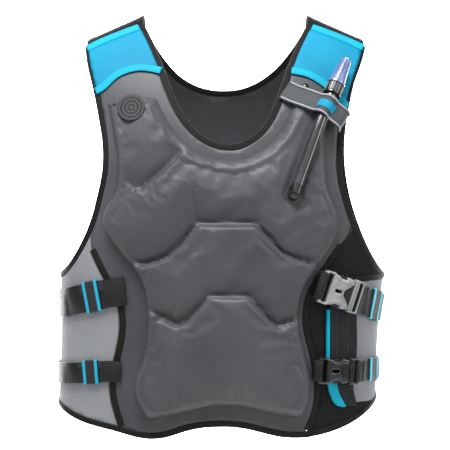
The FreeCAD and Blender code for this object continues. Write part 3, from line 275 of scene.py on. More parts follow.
def nearest(points, line, closed=False):
    """Distance of 2-D points from a line of points, and the signed distance to its right."""
    line = np.asarray(line, float)
    if closed:
        line = np.vstack([line, line[:1]])
    best, signed = np.full(len(points), 1e9), np.zeros(len(points))
    for a, b in zip(line[:-1], line[1:]):
        d = b - a
        share = np.clip(((points - a) @ d) / max(d @ d, 1e-12), 0, 1)
        away = points - a - share[:, None] * d
        gap = np.linalg.norm(away, axis=1)
        side = np.sign(away @ np.array([d[1], -d[0]]))
        near = gap < best
        best, signed = np.where(near, gap, best), np.where(near, gap * side, signed)
    return best, signed


def cut_out(outline, spacing, about):
    """Even triangles inside an outline of (angle, z): (angle, z) of the points, faces, rim."""
    scale = np.array([ANGLE_SCALE, 1])
    loop = unwound(outline, about) * scale
    closed = np.vstack([loop, loop[:1]])
    rim = even(closed, int(lengths(closed)[-1] / spacing) + 1)[:-1]
    low, high = rim.min(0), rim.max(0)
    x, y = np.meshgrid(np.arange(low[0], high[0], spacing), np.arange(low[1], high[1], spacing),
                       indexing="ij")
    middle = np.stack([x.ravel(), y.ravel()], -1)
    middle = middle[inside(middle, rim)]
    middle = middle[nearest(middle, rim, True)[0] > spacing * 0.55]
    flat = np.vstack([rim, middle])
    n = len(rim)
    edges = [(i, (i + 1) % n) for i in range(n)]
    verts, _, faces, *_ = delaunay_2d_cdt([Vector(p) for p in flat], edges, [], 1, 1e-6)
    return np.array([v[:] for v in verts]) / scale, [tuple(f) for f in faces], n


def sheet_on_torso(name, outline, low, high, material, spacing=6, about=-math.pi / 2, **settings):
    """Closed slab of cloth inside an outline on the torso.

    low and high are the rises of its two faces: numbers, or functions of points."""
    places, faces, rim = cut_out(outline, spacing, about)
    base = on_torso(*places.T)
    layers = [on_torso(*places.T, rise(base) if callable(rise) else rise) for rise in (high, low)]
    n = len(places)
    outer = np.array(faces)
    a, b, c = (layers[0][outer[:, k]] for k in range(3))
    facing = np.einsum("ij,ij->i", np.cross(b - a, c - a), outward(*places[outer[:, 0]].T))
    outer[facing < 0] = outer[facing < 0][:, ::-1]
    walls, flips = [], set(map(tuple, np.vstack([outer[:, [0, 1]], outer[:, [1, 2]],
                                                 outer[:, [2, 0]]]).tolist()))
    for i, j in flips:
        if (j, i) not in flips:
            walls.append((j, i, i + n, j + n))
    uv = np.vstack([places * [ANGLE_SCALE * MM, MM]] * 2)
    return piece(name, np.vstack(layers), [*map(tuple, outer), *map(tuple, outer[:, ::-1] + n), *walls],
                 material, uv=uv, **settings)


def stitches(name, line, normals, material, pitch=3.2, length=2.3, width=0.75, height=0.5, body="vest",
             slot=None):
    """Row of raised stitches along a 3-D line."""
    count = max(2, int(lengths(line)[-1] / pitch))
    spots, ups = even(line, count), unit(even_like(normals, line, count))
    ahead = ahead_of(spots)
    aside = np.cross(ups, ahead)
    shape = [(-1, 0, 0)] + [(u, 0.95 * math.sqrt(1 - u * u) * math.cos(a), math.sqrt(1 - u * u) * math.sin(a))
                            for u in (-0.6, 0, 0.6) for a in np.radians([0, 60, 120, 180, 240, 300])]
    shape = np.array(shape + [(1, 0, 0)]) * [length / 2, width / 2, height]
    points = (spots[:, None] + ahead[:, None] * shape[None, :, :1] + aside[:, None] * shape[None, :, 1:2]
              + ups[:, None] * shape[None, :, 2:])
    ring = [(1 + k, 1 + (k + 1) % 6) for k in range(6)]
    faces = [(0, b, a) for a, b in ring]
    faces += [(a + 6 * r, b + 6 * r, b + 6 * r + 6, a + 6 * r + 6) for r in (0, 1) for a, b in ring]
    faces += [(a + 12, b + 12, 19) for a, b in ring]
    every = [tuple(v + 20 * i for v in f) for i in range(count) for f in faces]
    return piece(name, points.reshape(-1, 3), every, material, body=body, slot=slot)


def even_like(values, line, count):
    """Values given at the points of a line, at evenly spaced places along it."""
    travelled = lengths(line)
    at = np.linspace(0, travelled[-1], count)
    return np.stack([np.interp(at, travelled, values[:, k]) for k in range(values.shape[1])], -1)


def path_stitches(name, path, offset, rise, material, **settings):
    """Stitches at an offset to the right of a path, at a rise above the torso."""
    moved = offset_path(path, offset)
    stitches(name, on_torso(*moved.T, rise), outward(*moved.T), material, **settings)


# ---------------------------------------------------------------- finishes
def srgb(*values):
    """Linear colour of display values from 0 to 255."""
    share = np.array(values) / 255
    return (*np.where(share <= 0.04045, share / 12.92, ((share + 0.055) / 1.055) ** 2.4), 1.0)


class Wire:
    """Output of a node that the usual operators work on."""

    def __init__(self, finish, socket):
        self.finish, self.socket = finish, socket

    def _math(self, kind, *others):
        return self.finish.node("ShaderNodeMath", dict(enumerate((self, *others))), operation=kind)

    def __add__(self, other):
        return self._math("ADD", other)

    def __sub__(self, other):
        return self._math("SUBTRACT", other)

    def __mul__(self, other):
        return self._math("MULTIPLY", other)

    def __rsub__(self, other):
        return self * -1.0 + other

    __radd__ = __add__
    __rmul__ = __mul__

    def sine(self):
        return self._math("SINE")

    def size(self):
        return self._math("ABSOLUTE")

    def between(self, low, high):
        """1 from low to high, fading over a tenth of the width."""
        soft = (high - low) * 0.1
        return self.ramp(low - soft, low + soft) * (1.0 - self.ramp(high - soft, high + soft))

    def ramp(self, low, high):
        """0 below low, 1 above high."""
        return self.finish.node("ShaderNodeMapRange", {"Value": self, "From Min": low, "From Max": high},
                                interpolation_type="SMOOTHSTEP")


class Finish:
    """A material, built up from nodes by name."""

    def __init__(self, name, **values):
        self.material = bpy.data.materials.new(name)
        self.material.use_nodes = True
        self.tree = self.material.node_tree
        self.shader = self.tree.nodes["Principled BSDF"]
        for socket, value in values.items():
            self.shader.inputs[socket.replace("_", " ")].default_value = value

    def node(self, kind, inputs, output=0, **settings):
        made = self.tree.nodes.new(kind)
        for key, value in settings.items():
            setattr(made, key, value)
        for key, value in inputs.items():
            if isinstance(value, Wire):
                self.tree.links.new(value.socket, made.inputs[key])
            else:
                made.inputs[key].default_value = value
        return Wire(self, made.outputs[output])

    def place(self, output="Object"):
        return self.node("ShaderNodeTexCoord", {}, output)

    def along(self, which, axis):
        """One coordinate, in metres, of the object (0, 1, 2) or of the piece's own UV."""
        return self.node("ShaderNodeSeparateXYZ", {0: self.place(which)}, axis)

    def noise(self, scale, detail=2.0, roughness=0.5, where="Object"):
        return self.node("ShaderNodeTexNoise", {"Vector": self.place(where), "Scale": scale, "Detail": detail,
                                                "Roughness": roughness})

    def cells(self, scale):
        return self.node("ShaderNodeTexVoronoi", {"Vector": self.place(), "Scale": scale})

    def mix(self, share, first, second):
        """Colour between two colours."""
        return self.node("ShaderNodeMix", {0: share, 6: first, 7: second}, 2, data_type="RGBA")

    def drive(self, socket, wire):
        self.tree.links.new(wire.socket, self.shader.inputs[socket])

    def bump(self, height, distance, strength=1.0):
        self.drive("Normal", self.node("ShaderNodeBump", {"Height": height, "Distance": distance,
                                                          "Strength": strength}))
        return self


MATT = 0.2


def fabric(name, dark, light, roughness, grain=900, depth=0.00025, patches=14, sheen=0.0, **values):
    """Knit or coated cloth: fine grain, slow patches of lighter and darker colour."""
    finish = Finish(name, Sheen_Weight=sheen, Sheen_Roughness=0.4, Specular_IOR_Level=MATT, **values)
    fine, slow = finish.noise(grain, 3.0), finish.noise(patches, 4.0, 0.6)
    finish.drive("Base Color", finish.mix((slow * 0.65 + fine * 0.5 - 0.1).ramp(0.2, 0.8), dark, light))
    finish.drive("Roughness", slow * 0.12 + fine * 0.08 + (roughness - 0.1))
    return finish.bump(fine + finish.cells(grain * 1.3) * 0.6, depth).material


def woven(name, dark, light, roughness, rib=0.0021, pick=0.0016, depth=0.0004, **values):
    """Webbing: ribs along the strap crossed by slanted picks, worn lighter in places."""
    finish = Finish(name, Specular_IOR_Level=MATT, **values)
    across, along = finish.along("UV", 0), finish.along("UV", 1)
    ribs = (across * (2 * math.pi / rib)).sine()
    picks = (along * (2 * math.pi / pick) + ribs * 1.4).sine()
    height = ribs * 0.3 + picks * 0.22 + 0.5
    worn = finish.noise(60, 3.0)
    finish.drive("Base Color", finish.mix((height * 0.7 + worn * 0.45).ramp(0.25, 1.0), dark, light))
    finish.drive("Roughness", height * -0.12 + worn * 0.16 + roughness)
    return finish.bump(height, depth).material


def moulded(name, dark, light, roughness, grain=1400, depth=0.00006, **values):
    """Moulded plastic: faint texture, soft marks and slow change of gloss."""
    finish = Finish(name, **values)
    fine, slow = finish.noise(grain, 2.0), finish.noise(45, 4.0, 0.65)
    finish.drive("Base Color", finish.mix(slow.ramp(0.3, 0.75), dark, light))
    finish.drive("Roughness", slow * 0.18 + fine * 0.06 + (roughness - 0.1))
    return finish.bump(fine, depth).material


COATED = fabric("coated_cloth", srgb(56, 57, 60), srgb(76, 77, 80), 0.42, 1100, 0.00022, 9, Coat_Weight=0.12,
                Coat_Roughness=0.35)
BLACK_KNIT = fabric("black_knit", srgb(5, 5, 6), srgb(12, 12, 14), 0.72, 1300, 0.0003, 16)
GREY_KNIT = fabric("grey_knit", srgb(116, 118, 121), srgb(138, 140, 143), 0.66, 1300, 0.0003, 12, 0.1)
BLUE_KNIT = fabric("blue_knit", srgb(0, 108, 142), srgb(0, 136, 168), 0.6, 1500, 0.0002, 10)
BLUE_TAPE = fabric("blue_tape", srgb(0, 138, 164), srgb(2, 162, 186), 0.6, 1700, 0.0002, 20)
LINING = fabric("lining_knit", srgb(44, 45, 47), srgb(60, 61, 64), 0.72, 1200, 0.0003, 12)
BAND_CLOTH = fabric("band_cloth", srgb(58, 60, 63), srgb(74, 76, 79), 0.6, 1500, 0.0003, 30)
BINDING_TAPE = woven("binding_tape", srgb(4, 4, 5), srgb(15, 15, 17), 0.62, 0.0012, 0.0009, 0.0002)
WEBBING = woven("webbing", srgb(5, 5, 6), srgb(24, 24, 26), 0.42, Coat_Weight=0.1)
PIPING = woven("piping", srgb(126, 129, 132), srgb(168, 171, 174), 0.5, 0.0012, 0.0009, 0.0002)
THREAD = moulded("dark_thread", srgb(12, 12, 14), srgb(26, 27, 29), 0.6)
GREY_THREAD = moulded("grey_thread", srgb(58, 60, 63), srgb(84, 86, 90), 0.6)
BLUE_THREAD = moulded("blue_thread", srgb(0, 120, 180), srgb(0, 150, 208), 0.6)
GREY_PLASTIC = moulded("grey_plastic", srgb(120, 122, 124), srgb(150, 152, 154), 0.38, Coat_Weight=0.2)
BLACK_PLASTIC = moulded("black_plastic", srgb(9, 9, 10), srgb(20, 20, 22), 0.32, Coat_Weight=0.25)
GLOSS_PLASTIC = moulded("gloss_plastic", srgb(20, 21, 23), srgb(40, 41, 44), 0.26, Coat_Weight=0.5,
                        Coat_Roughness=0.16)
HOSE_RUBBER = moulded("hose_rubber", srgb(26, 27, 29), srgb(44, 45, 48), 0.3, 900, 0.00004, Coat_Weight=0.7,
                      Coat_Roughness=0.16)
CAP_PLASTIC = moulded("cap_plastic", srgb(92, 108, 158), srgb(128, 142, 188), 0.24, Transmission_Weight=0.35,
                      Coat_Weight=0.4)
STEEL = moulded("steel", srgb(150, 152, 155), srgb(190, 192, 195), 0.25, Metallic=1.0)


def striped(name, stripe, half_length):
    """Elastic loop: ribbed dark band with a coloured stripe at each end."""
    finish = Finish(name)
    across, along = finish.along("UV", 0), finish.along("UV", 1)
    ribs = (along * (2 * math.pi / 0.0011)).sine() * 0.5 + 0.5
    worn = finish.noise(80, 3.0)
    from_middle = (along - half_length).size()
    ends = from_middle.between(half_length - 0.0045, half_length + 0.002)
    base = finish.mix((ribs * 0.5 + worn * 0.5).ramp(0.2, 0.9), srgb(7, 7, 8), srgb(26, 27, 29))
    finish.drive("Base Color", finish.mix(ends, base, stripe))
    finish.drive("Roughness", worn * 0.2 + 0.42)
    return finish.bump(ribs + (across * (2 * math.pi / 0.0024)).sine() * 0.2, 0.00025).material


def ringed(name, centre, pitch=0.0052):
    """Rubber badge with raised rings about its centre, in metres."""
    finish = Finish(name, Specular_IOR_Level=0.3)
    away = finish.node("ShaderNodeVectorMath", {0: finish.place(), 1: centre}, 1, operation="DISTANCE")
    rings = (away * (2 * math.pi / pitch)).sine().ramp(-0.3, 0.5)
    worn = finish.noise(60, 3.0)
    finish.drive("Base Color", finish.mix(rings * 0.8 + worn * 0.2, srgb(9, 9, 10), srgb(58, 59, 62)))
    finish.drive("Roughness", worn * 0.2 + 0.4)
    return finish.bump(rings, 0.0008).material


def closure_cloth():
    """Black pile above and in front, grey cloth low on the side."""
    finish = Finish("closure_side_cloth", Specular_IOR_Level=MATT)
    fine, slow = finish.noise(1300, 3.0), finish.noise(14, 4.0, 0.6)
    x, z = finish.along("Object", 0), finish.along("Object", 2)
    grey = x.ramp(0.1645, 0.1655) * z.ramp(0.0495, 0.0505) * (1.0 - z.ramp(0.2235, 0.2245))
    black = finish.mix(slow, srgb(6, 6, 7), srgb(14, 14, 16))
    finish.drive("Base Color", finish.mix(grey, black,
                                          finish.mix(slow, srgb(116, 118, 121), srgb(136, 138, 141))))
    finish.drive("Roughness", slow * 0.12 + fine * 0.08 + 0.6)
    return finish.bump(fine + finish.cells(1700) * 0.6, 0.0003).material


CLOSURE_CLOTH = closure_cloth()
KEEPER_RIGHT_SIDE = striped("elastic_bright_stripe", srgb(0, 156, 190), 0.012)
KEEPER_LEFT_SIDE = striped("elastic_pale_stripe", srgb(58, 180, 198), 0.012)

# ---------------------------------------------------------------- pattern lines
NECK = [(-116, 584), (-104, 560), (-91, 530), (-76, 490), (-62, 458), (-42, 430), (-18, 413), (6, 408),
        (28, 414), (48, 430), (64, 457), (77, 492), (91, 530), (104, 560), (116, 584)]
ARM_RIGHT = [(-196, 548), (-193, 526), (-184, 490), (-174, 443), (-168, 401), (-169, 370), (-176, 335),
             (-186, 300), (-200, 270), (-216, 245)]
ARM_LEFT = [(196, 548), (189, 524), (177, 492), (167, 455), (160, 400), (160, 366), (167, 334),
            (179, 298), (194, 266), (208, 244)]
BACK_NECK = [(-116, 584), (-100, 556), (-80, 530), (-62, 514), (-40, 503), (-3, 497), (34, 503), (56, 514),
             (76, 530), (98, 556), (116, 584)]
BACK_ARM = [(214, 252), (198, 292), (184, 340), (176, 400), (180, 460), (190, 515), (196, 548)]
RIGHT_SEAM = [(-142, 9), (-150, 35), (-157, 69), (-151, 112), (-143, 160), (-146, 185), (-165, 224),
              (-188, 272)]
LEFT_SEAM = [(110, 3), (127, 45), (129, 76), (122, 122), (113, 163), (117, 196), (144, 243), (174, 288)]
FRONT_HEM = [(110, 3), (80, 4), (45, 12), (5, 19), (-50, 14), (-82, 4), (-109, 2), (-142, 9)]
REAR_SEAM, HEM_BACK = 42, 22
neck_path = smooth_path(seen_at(NECK), 170)
back_neck_path = smooth_path(seen_at(BACK_NECK[::-1], BACK), 130)
arm_right_path = smooth_path([*seen_at([(-x, z) for x, z in BACK_ARM[::-1]], BACK), (-math.pi, 231),
                              *seen_at(ARM_RIGHT[::-1])], 240)
arm_left_path = smooth_path([*seen_at(ARM_LEFT), (0, 231), *seen_at(BACK_ARM, BACK)], 240)
hem_path = smooth_path([*seen_at(FRONT_HEM), *seen_at([(-190, 20), (-225, 34)]), (-math.pi, 42),
                        *seen_at([(-150, HEM_BACK), (0, HEM_BACK - 4), (150, HEM_BACK)], BACK), (0, 50),
                        *seen_at([(190, 30), (160, 15), (130, 6.5), (110.4, 3.1)])], 420)
right_seam, left_seam = smooth_path(seen_at(RIGHT_SEAM), 90), smooth_path(seen_at(LEFT_SEAM), 90)

# ---------------------------------------------------------------- edge bindings and their stitching
binding_profile = rounded(BINDING, PANEL + 2 * PROUD, 2.2, 5) + [BINDING / 2, PANEL / 2]
front_edge_path = left_seam[(left_seam[:, 1] > 9.5) & (left_seam[:, 1] < 268)][::-1]
bindings = {"neck_binding_front": neck_path, "neck_binding_back": back_neck_path,
            "armhole_binding_right": arm_right_path, "armhole_binding_left": arm_left_path,
            "hem_binding": hem_path, "front_edge_binding": front_edge_path}
for name, path in bindings.items():
    bound = on_path(name + "_cloth", path, binding_profile, BINDING_TAPE, stands_for=(name,),
                    slot="binding_tape")
    two_rows = name == "front_edge_binding"
    for row, offset in enumerate((BINDING - 1.6, BINDING - 3.4) if two_rows else (BINDING - 1.8,)):
        path_stitches(f"{name}_stitches_{row}", path, offset, PANEL + PROUD - 0.1, THREAD)


# ---------------------------------------------------------------- shell panels
def rear_seam(sign, heights):
    heights = np.asarray(heights, float)
    _, _, depth = section(heights, np.zeros(len(heights), bool))
    angle = np.arcsin((REAR_SEAM / depth) ** (SQUARENESS / 2))
    return np.stack([angle if sign > 0 else math.pi - angle, heights], -1)


def shoulder_line(side, drop=1.0):
    """Tops of one side's tabs from -X outside to inside, then from +X inside to outside."""
    x = np.array([122, 136, 152, 168, 186], float)
    z = 584 - 0.45 * (x - 116) - drop
    return seen_at(np.stack([-x[::-1], z[::-1]], -1), side), seen_at(np.stack([x, z], -1), side)


TUCK = BINDING - 3.0
neck_in, back_neck_in = offset_path(neck_path, TUCK), offset_path(back_neck_path, TUCK)
arm_right_in, arm_left_in = offset_path(arm_right_path, TUCK), offset_path(arm_left_path, TUCK)
hem_in = unwound(offset_path(hem_path, TUCK))


def is_front(path):
    """Which points of (angle, z) lie on the chest's half."""
    return np.sin(path[:, 0]) < 0


seam_up = right_seam[(right_seam[:, 1] > 16) & (right_seam[:, 1] < 262)]
edge_up = left_seam[(left_seam[:, 1] > 9.5) & (left_seam[:, 1] < 266)]
arm_right_up = arm_right_in[is_front(arm_right_in) & (arm_right_in[:, 1] > 284) & (arm_right_in[:, 1] < 540)]
arm_left_down = arm_left_in[is_front(arm_left_in) & (arm_left_in[:, 1] > 290) & (arm_left_in[:, 1] < 540)]
neck_across = neck_in[neck_in[:, 1] < 572]
hem_x = on_torso(*hem_in.T)
outward_run = np.arange(len(hem_in)) < len(hem_in) // 2
hem_front = hem_in[outward_run & is_front(hem_in) & (hem_x[:, 0] < 116) & (hem_x[:, 0] > -143)]
top_right, top_left = shoulder_line(FRONT)
front_outline = np.vstack([seam_up, arm_right_up, top_right, neck_across, top_left, arm_left_down,
                           offset_path(edge_up[::-1], TUCK), hem_front])
front_panel = sheet_on_torso("front_panel_cloth", front_outline, 0.0, PANEL, COATED, 7,
                             stands_for=("front_panel",), slot="loop_fabric")

back_right, back_left = shoulder_line(BACK)
arm_right_back = arm_right_in[~is_front(arm_right_in) & (arm_right_in[:, 1] > 262)
                              & (arm_right_in[:, 1] < 540)]
arm_left_back = arm_left_in[~is_front(arm_left_in) & (arm_left_in[:, 1] > 262) & (arm_left_in[:, 1] < 540)]
seam_levels = np.arange(44, 226, 12)
hem_back = hem_in[~is_front(hem_in) & (np.abs(hem_x[:, 0]) < 205)]
back_outline = np.vstack([rear_seam(-1, seam_levels), arm_right_back[::-1], back_right,
                          back_neck_in[::-1][back_neck_in[::-1][:, 1] < 572], back_left, arm_left_back[::-1],
                          rear_seam(1, seam_levels[::-1]), hem_back[::-1]])
back_panel = sheet_on_torso("back_panel_cloth", back_outline, 0.0, PANEL, LINING, 8, math.pi / 2,
                            stands_for=("back_panel",), slot="loop_fabric")


def side_panel(name, sign, seam, arm_in, material, node):
    """Cloth round one side, from a front seam to the rear seam."""
    about = -math.pi if sign < 0 else 0.0
    rear = unwound(rear_seam(sign, seam_levels), about)
    arm, hem = unwound(arm_in, about), unwound(hem_in, about)
    seam_line = unwound(seam, about)
    low, high = sorted((seam_line[-1, 0], rear[-1, 0]))
    arm = arm[(arm[:, 0] > low) & (arm[:, 0] < high) & (arm[:, 1] < 300)]
    arm = arm[np.argsort(arm[:, 0])]
    low, high = sorted((seam_line[0, 0], rear[0, 0]))
    hem = hem[(hem[:, 0] > low) & (hem[:, 0] < high)]
    hem = hem[np.argsort(hem[:, 0])]
    if sign > 0:
        outline = np.vstack([seam_line, arm, rear[::-1], hem[::-1]])
    else:
        outline = np.vstack([seam_line, arm[::-1], rear[::-1], hem])
    return sheet_on_torso(name, outline, 0.0, PANEL, material, 7, about, stands_for=(node,))


right_side = side_panel("right_side_cloth", -1, offset_path(seam_up, 0.3), arm_right_in, GREY_KNIT,
                        "right_side_panel")
closure_side = side_panel("closure_cloth", 1, offset_path(edge_up, -1.0), arm_left_in, CLOSURE_CLOTH,
                          "closure_panel")
side_top = np.array([(a, 226 + 6 * math.sin(a)) for a in np.linspace(-0.86, 0.35, 50)])
on_path("side_top_binding", side_top, rounded(8, 2.6, 1.2, 4) + [0, PANEL + 0.6], BINDING_TAPE,
        slot="binding_tape")
seam_tape_profile = rounded(9, 1.2, 0.5, 3) + [3.5, PANEL + 0.6]
on_path("side_seam_tape", seam_up, seam_tape_profile, BINDING_TAPE, slot="binding_tape")
for row, offset in enumerate((-2.6, 2.6)):
    path_stitches(f"side_seam_stitches_{row}", seam_up, offset, PANEL + 0.1, GREY_THREAD, pitch=2.6)
    for sign, side in ((-1, "right"), (1, "left")):
        path_stitches(f"rear_seam_stitches_{side}_{row}", rear_seam(sign, seam_levels), offset, PANEL + 0.1,
                      THREAD)


# ---------------------------------------------------------------- air bladder
BLADDER_RIGHT = [(-102, 31), (-112, 45), (-119, 64), (-119, 88), (-112, 106), (-104, 150), (-104, 192),
                 (-113, 226), (-132, 252), (-151, 279), (-161, 300), (-157, 322), (-147, 344), (-144, 375),
                 (-147, 409), (-153, 440), (-156, 462)]
BLADDER_LEFT = [(98, 33), (106, 48), (110, 68), (109, 92), (105, 116), (98, 150), (96, 188), (105, 216),
                (124, 246), (143, 276), (150, 297), (147, 320), (138, 344), (134, 382), (134, 414),
                (138, 448)]
BLADDER_LOW = [(-102, 31), (-60, 38), (6, 50), (56, 40), (98, 33)]
HOSE_LINE = [(84, 339), (119, 445), (134, 476)]
NECK_TO_BLADDER, PUFF_REACH, PUFF_HIGH, LOBE_SHARE = 24, 48, 21, 0.6
# creases of the quilted face: points of the front view, which side dips towards the seam, depth, reach
CREASES = [([(-35, 298), (39, 298)], -1, 14, 26),
           ([(-35, 298), (-55, 271), (-73, 255), (-89, 247), (-112, 243)], 1, 13, 22),
           ([(39, 298), (55, 279), (73, 259), (89, 251), (114, 243)], -1, 13, 22),
           ([(-20, 200), (29, 200)], -1, 13, 24),
           ([(-20, 200), (-29, 188), (-51, 165), (-62, 160), (-80, 170)], 1, 12, 22),
           ([(29, 200), (39, 187), (55, 168), (66, 159), (86, 165)], -1, 12, 22),
           ([(-64, 389), (-86, 367), (-108, 349)], 1, 9, 20)]
SEAM_LIP = 2.2
neck_cut = offset_path(neck_path, NECK_TO_BLADDER)
neck_cut = neck_cut[neck_cut[:, 1] < 472]
right_rim, left_rim, low_rim = (smooth_path(seen_at(p), 120) for p in (BLADDER_RIGHT, BLADDER_LEFT,
                                                                       BLADDER_LOW))
bladder_outline = np.vstack([right_rim, seen_at([(-134, 472), (-114, 474)]), neck_cut,
                             seen_at([(108, 474), (126, 466)]), left_rim[::-1], low_rim[::-1][1:-1]])
rim_seen = on_torso(*bladder_outline.T)[::2][:, [0, 2]]


def bladder_rise(points):
    """Height of the inflated face above the torso: a full edge, quilted creases, a bed for the hose."""
    seen = points[:, [0, 2]]
    edge = nearest(seen, rim_seen, True)[0]
    share = np.clip(edge / PUFF_REACH, 0, 1)
    up = np.clip((seen[:, 1] - 260) / 140, 0, 1)
    high = PUFF_HIGH * (1 - (1 - LOBE_SHARE) * up)
    puff = 2.0 + (high - 2.0) * (0.55 * np.sqrt(1 - (1 - np.clip(edge / 14, 0, 1)) ** 2)
                                 + 0.45 * np.sqrt(1 - (1 - share) ** 2))
    dip = np.zeros(len(seen))
    for line, dipping, depth, reach in CREASES:
        gap, side = nearest(seen, line)
        far = np.where(side * dipping > 0, reach, SEAM_LIP)
        dip = np.maximum(dip, depth * np.exp(-(gap / far) ** 1.15))
    puff = puff - dip * np.clip(edge / 12, 0, 1)
    ridge = 1.6 * np.exp(-((edge - 11) / 4.5) ** 2) * np.clip((seen[:, 1] - 300) / 60, 0, 1)
    hose = nearest(seen, HOSE_LINE)[0]
    return ON_PANEL + np.minimum(np.maximum(puff, 1.5) + ridge, 11 + 0.55 * np.maximum(0, hose - 7))


def inflated(points, faces, held, pressure=4.0, cap=5.0, spare=-0.02):
    """Points moved as cloth would move under air pressure, with some places sewn down."""
    data = bpy.data.meshes.new("inflating")
    data.from_pydata((points * MM).tolist(), [], faces)
    thing = bpy.data.objects.new("inflating", data)
    bpy.context.scene.collection.objects.link(thing)
    group = thing.vertex_groups.new(name="sewn")
    for i, weight in enumerate(held):
        if weight > 0:
            group.add([i], float(weight), "REPLACE")
    cloth = thing.modifiers.new("cloth", "CLOTH")
    facts = cloth.settings
    facts.quality, facts.mass, facts.time_scale = 4, 0.3, 1.0
    facts.tension_stiffness = facts.compression_stiffness = facts.shear_stiffness = 18
    facts.bending_stiffness = 2.0
    facts.vertex_group_mass = "sewn"
    facts.use_pressure, facts.uniform_pressure_force = True, pressure
    facts.shrink_min = spare
    facts.effector_weights.gravity = 0
    cloth.point_cache.frame_start, cloth.point_cache.frame_end = 1, 20
    for number in range(1, 21):
        bpy.context.scene.frame_set(number)
    solved = thing.evaluated_get(bpy.context.evaluated_depsgraph_get())
    moved = np.array([v.co for v in solved.data.vertices]) / MM
    bpy.context.scene.frame_set(1)
    bpy.data.objects.remove(thing)
    shift = moved - points
    size = np.linalg.norm(shift, axis=1, keepdims=True)
    return points + shift * np.minimum(1, cap / np.maximum(size, 1e-9))


bladder = sheet_on_torso("bladder_cloth", bladder_outline, ON_PANEL, bladder_rise, COATED, 3.2,
                         stands_for=("air_bladder",), slot="bladder_fabric")
half = len(bladder.data.vertices) // 2
co = np.array([v.co for v in bladder.data.vertices]) / MM
face_in = [tuple(p.vertices) for p in bladder.data.polygons if max(p.vertices) < half]
seen = co[:half][:, [0, 2]]
sewn = np.clip(1 - (nearest(seen, rim_seen, True)[0] - 2) / 6, 0, 1)
for line, *_ in CREASES:
    sewn = np.maximum(sewn, np.clip(1 - nearest(seen, line)[0] / 5, 0, 1))
sewn = np.maximum(sewn, np.clip(1 - (nearest(seen, HOSE_LINE)[0] - 14) / 6, 0, 1))
co[:half] = inflated(co[:half], face_in, sewn)
bladder.data.vertices.foreach_set("co", (co * MM).ravel())
bladder.data.update()

# ---------------------------------------------------------------- blue shoulder yokes
YOKES = {"right": ([(-114, 512), (-133, 509), (-150, 500), (-164, 486)], arm_right_in, 478),
         "left": ([(110, 503), (130, 491), (148, 474)], arm_left_in, 456)}
for side, (lower, arm_in, arm_low) in YOKES.items():
    sign = -1 if side == "right" else 1
    arm = arm_in[is_front(arm_in) & (arm_in[:, 1] > arm_low) & (arm_in[:, 1] < 545)]
    arm = arm if arm[0, 1] < arm[-1, 1] else arm[::-1]
    neck = neck_in[(sign * on_torso(*neck_in.T)[:, 0] > 0) & (neck_in[:, 1] > 507) & (neck_in[:, 1] < 575)]
    neck = neck if neck[0, 1] > neck[-1, 1] else neck[::-1]
    low_line = smooth_path(np.vstack([neck[-1:], seen_at(lower), arm[:1]]), 50)
    outline = np.vstack([arm, neck, low_line[1:-1]])
    yoke = sheet_on_torso(f"yoke_{side}_cloth", outline, ON_PANEL, ON_PANEL + 2, BLUE_KNIT, 5,
                          stands_for=(f"shoulder_yoke_{side}",), slot="blue_fabric")
    top_line = smooth_path(np.vstack([arm[-1:], neck[:1]]), 30)
    for place, line in (("low", low_line), ("top", top_line)):
        line = line if (place == "low") == (sign < 0) else line[::-1]
        hem = on_path(f"yoke_{side}_{place}_hem", line, rounded(10.5, 1.4, 0.6, 3) + [5.0, ON_PANEL + 2.2],
                      BLUE_TAPE,
                      slot="blue_fabric")
        for row, offset in enumerate((2.2, 7.8)):
            path_stitches(f"yoke_{side}_{place}_stitches_{row}", line, offset, ON_PANEL + 2.9, BLUE_THREAD,
                          pitch=2.4,
                          length=1.8, width=0.6, height=0.35)

# ---------------------------------------------------------------- straps over the shoulders
SHOULDER_THICK, SHOULDER_WIDE = 4.0, 87.0


def over_shoulder(sign, across, out, turn):
    """Points of the loop over one shoulder.

    They are given by the place across it, the height above its inside and the turn from front to back."""
    across, out, turn = np.broadcast_arrays(*(np.asarray(v, float) for v in (across, out, turn)))
    share = 0.5 + across / 87.7
    x, z = sign * (116 + 80 * share), 584 - 36 * share + 1.5
    front, back = (on_torso(*seen_at(np.stack([x, z], -1), side).reshape(-1, 2).T)[:, 1].reshape(x.shape)
                   for side in (FRONT, BACK))
    reach, middle = (back - front) / 2, (back + front) / 2
    return np.stack([x, middle - (reach + out) * np.cos(turn), z + (9.5 + out) * np.sin(turn)], -1)


PAST_LEVEL = 0.2
turns = np.linspace(-PAST_LEVEL, math.pi + PAST_LEVEL, 45)[:, None]
shoulder_profile = rounded(SHOULDER_WIDE, SHOULDER_THICK, 1.8, 5) + [0, 1.5]
rim_profile = rounded(9, SHOULDER_THICK + 1.2, 2.3, 5)
for sign, side in ((-1, "right"), (1, "left")):
    rings = over_shoulder(sign, shoulder_profile[None, :, 0], shoulder_profile[None, :, 1], turns)
    points, faces = tube(rings)
    line = over_shoulder(sign, 0, 3.5, turns[:, 0])
    pad = piece(f"shoulder_{side}_pad", points, faces, BLACK_KNIT, stands_for=(f"shoulder_strap_{side}",),
                uv=swept_uv(line, shoulder_profile), slot="loop_fabric")
    for edge, across in (("neck", -39.2), ("arm", 39.2)):
        rings = over_shoulder(sign, rim_profile[None, :, 0] + across, rim_profile[None, :, 1] + 1.5, turns)
        points, faces = tube(rings)
        piece(f"shoulder_{side}_{edge}_binding", points, faces, BINDING_TAPE, uv=swept_uv(line, rim_profile),
              slot="binding_tape")
        inner = over_shoulder(sign, across * 0.86, 3.5, turns[:, 0])
        stitches(f"shoulder_{side}_{edge}_stitches", inner,
                 unit(over_shoulder(sign, across * 0.86, 5.5, turns[:, 0]) - inner), THREAD)

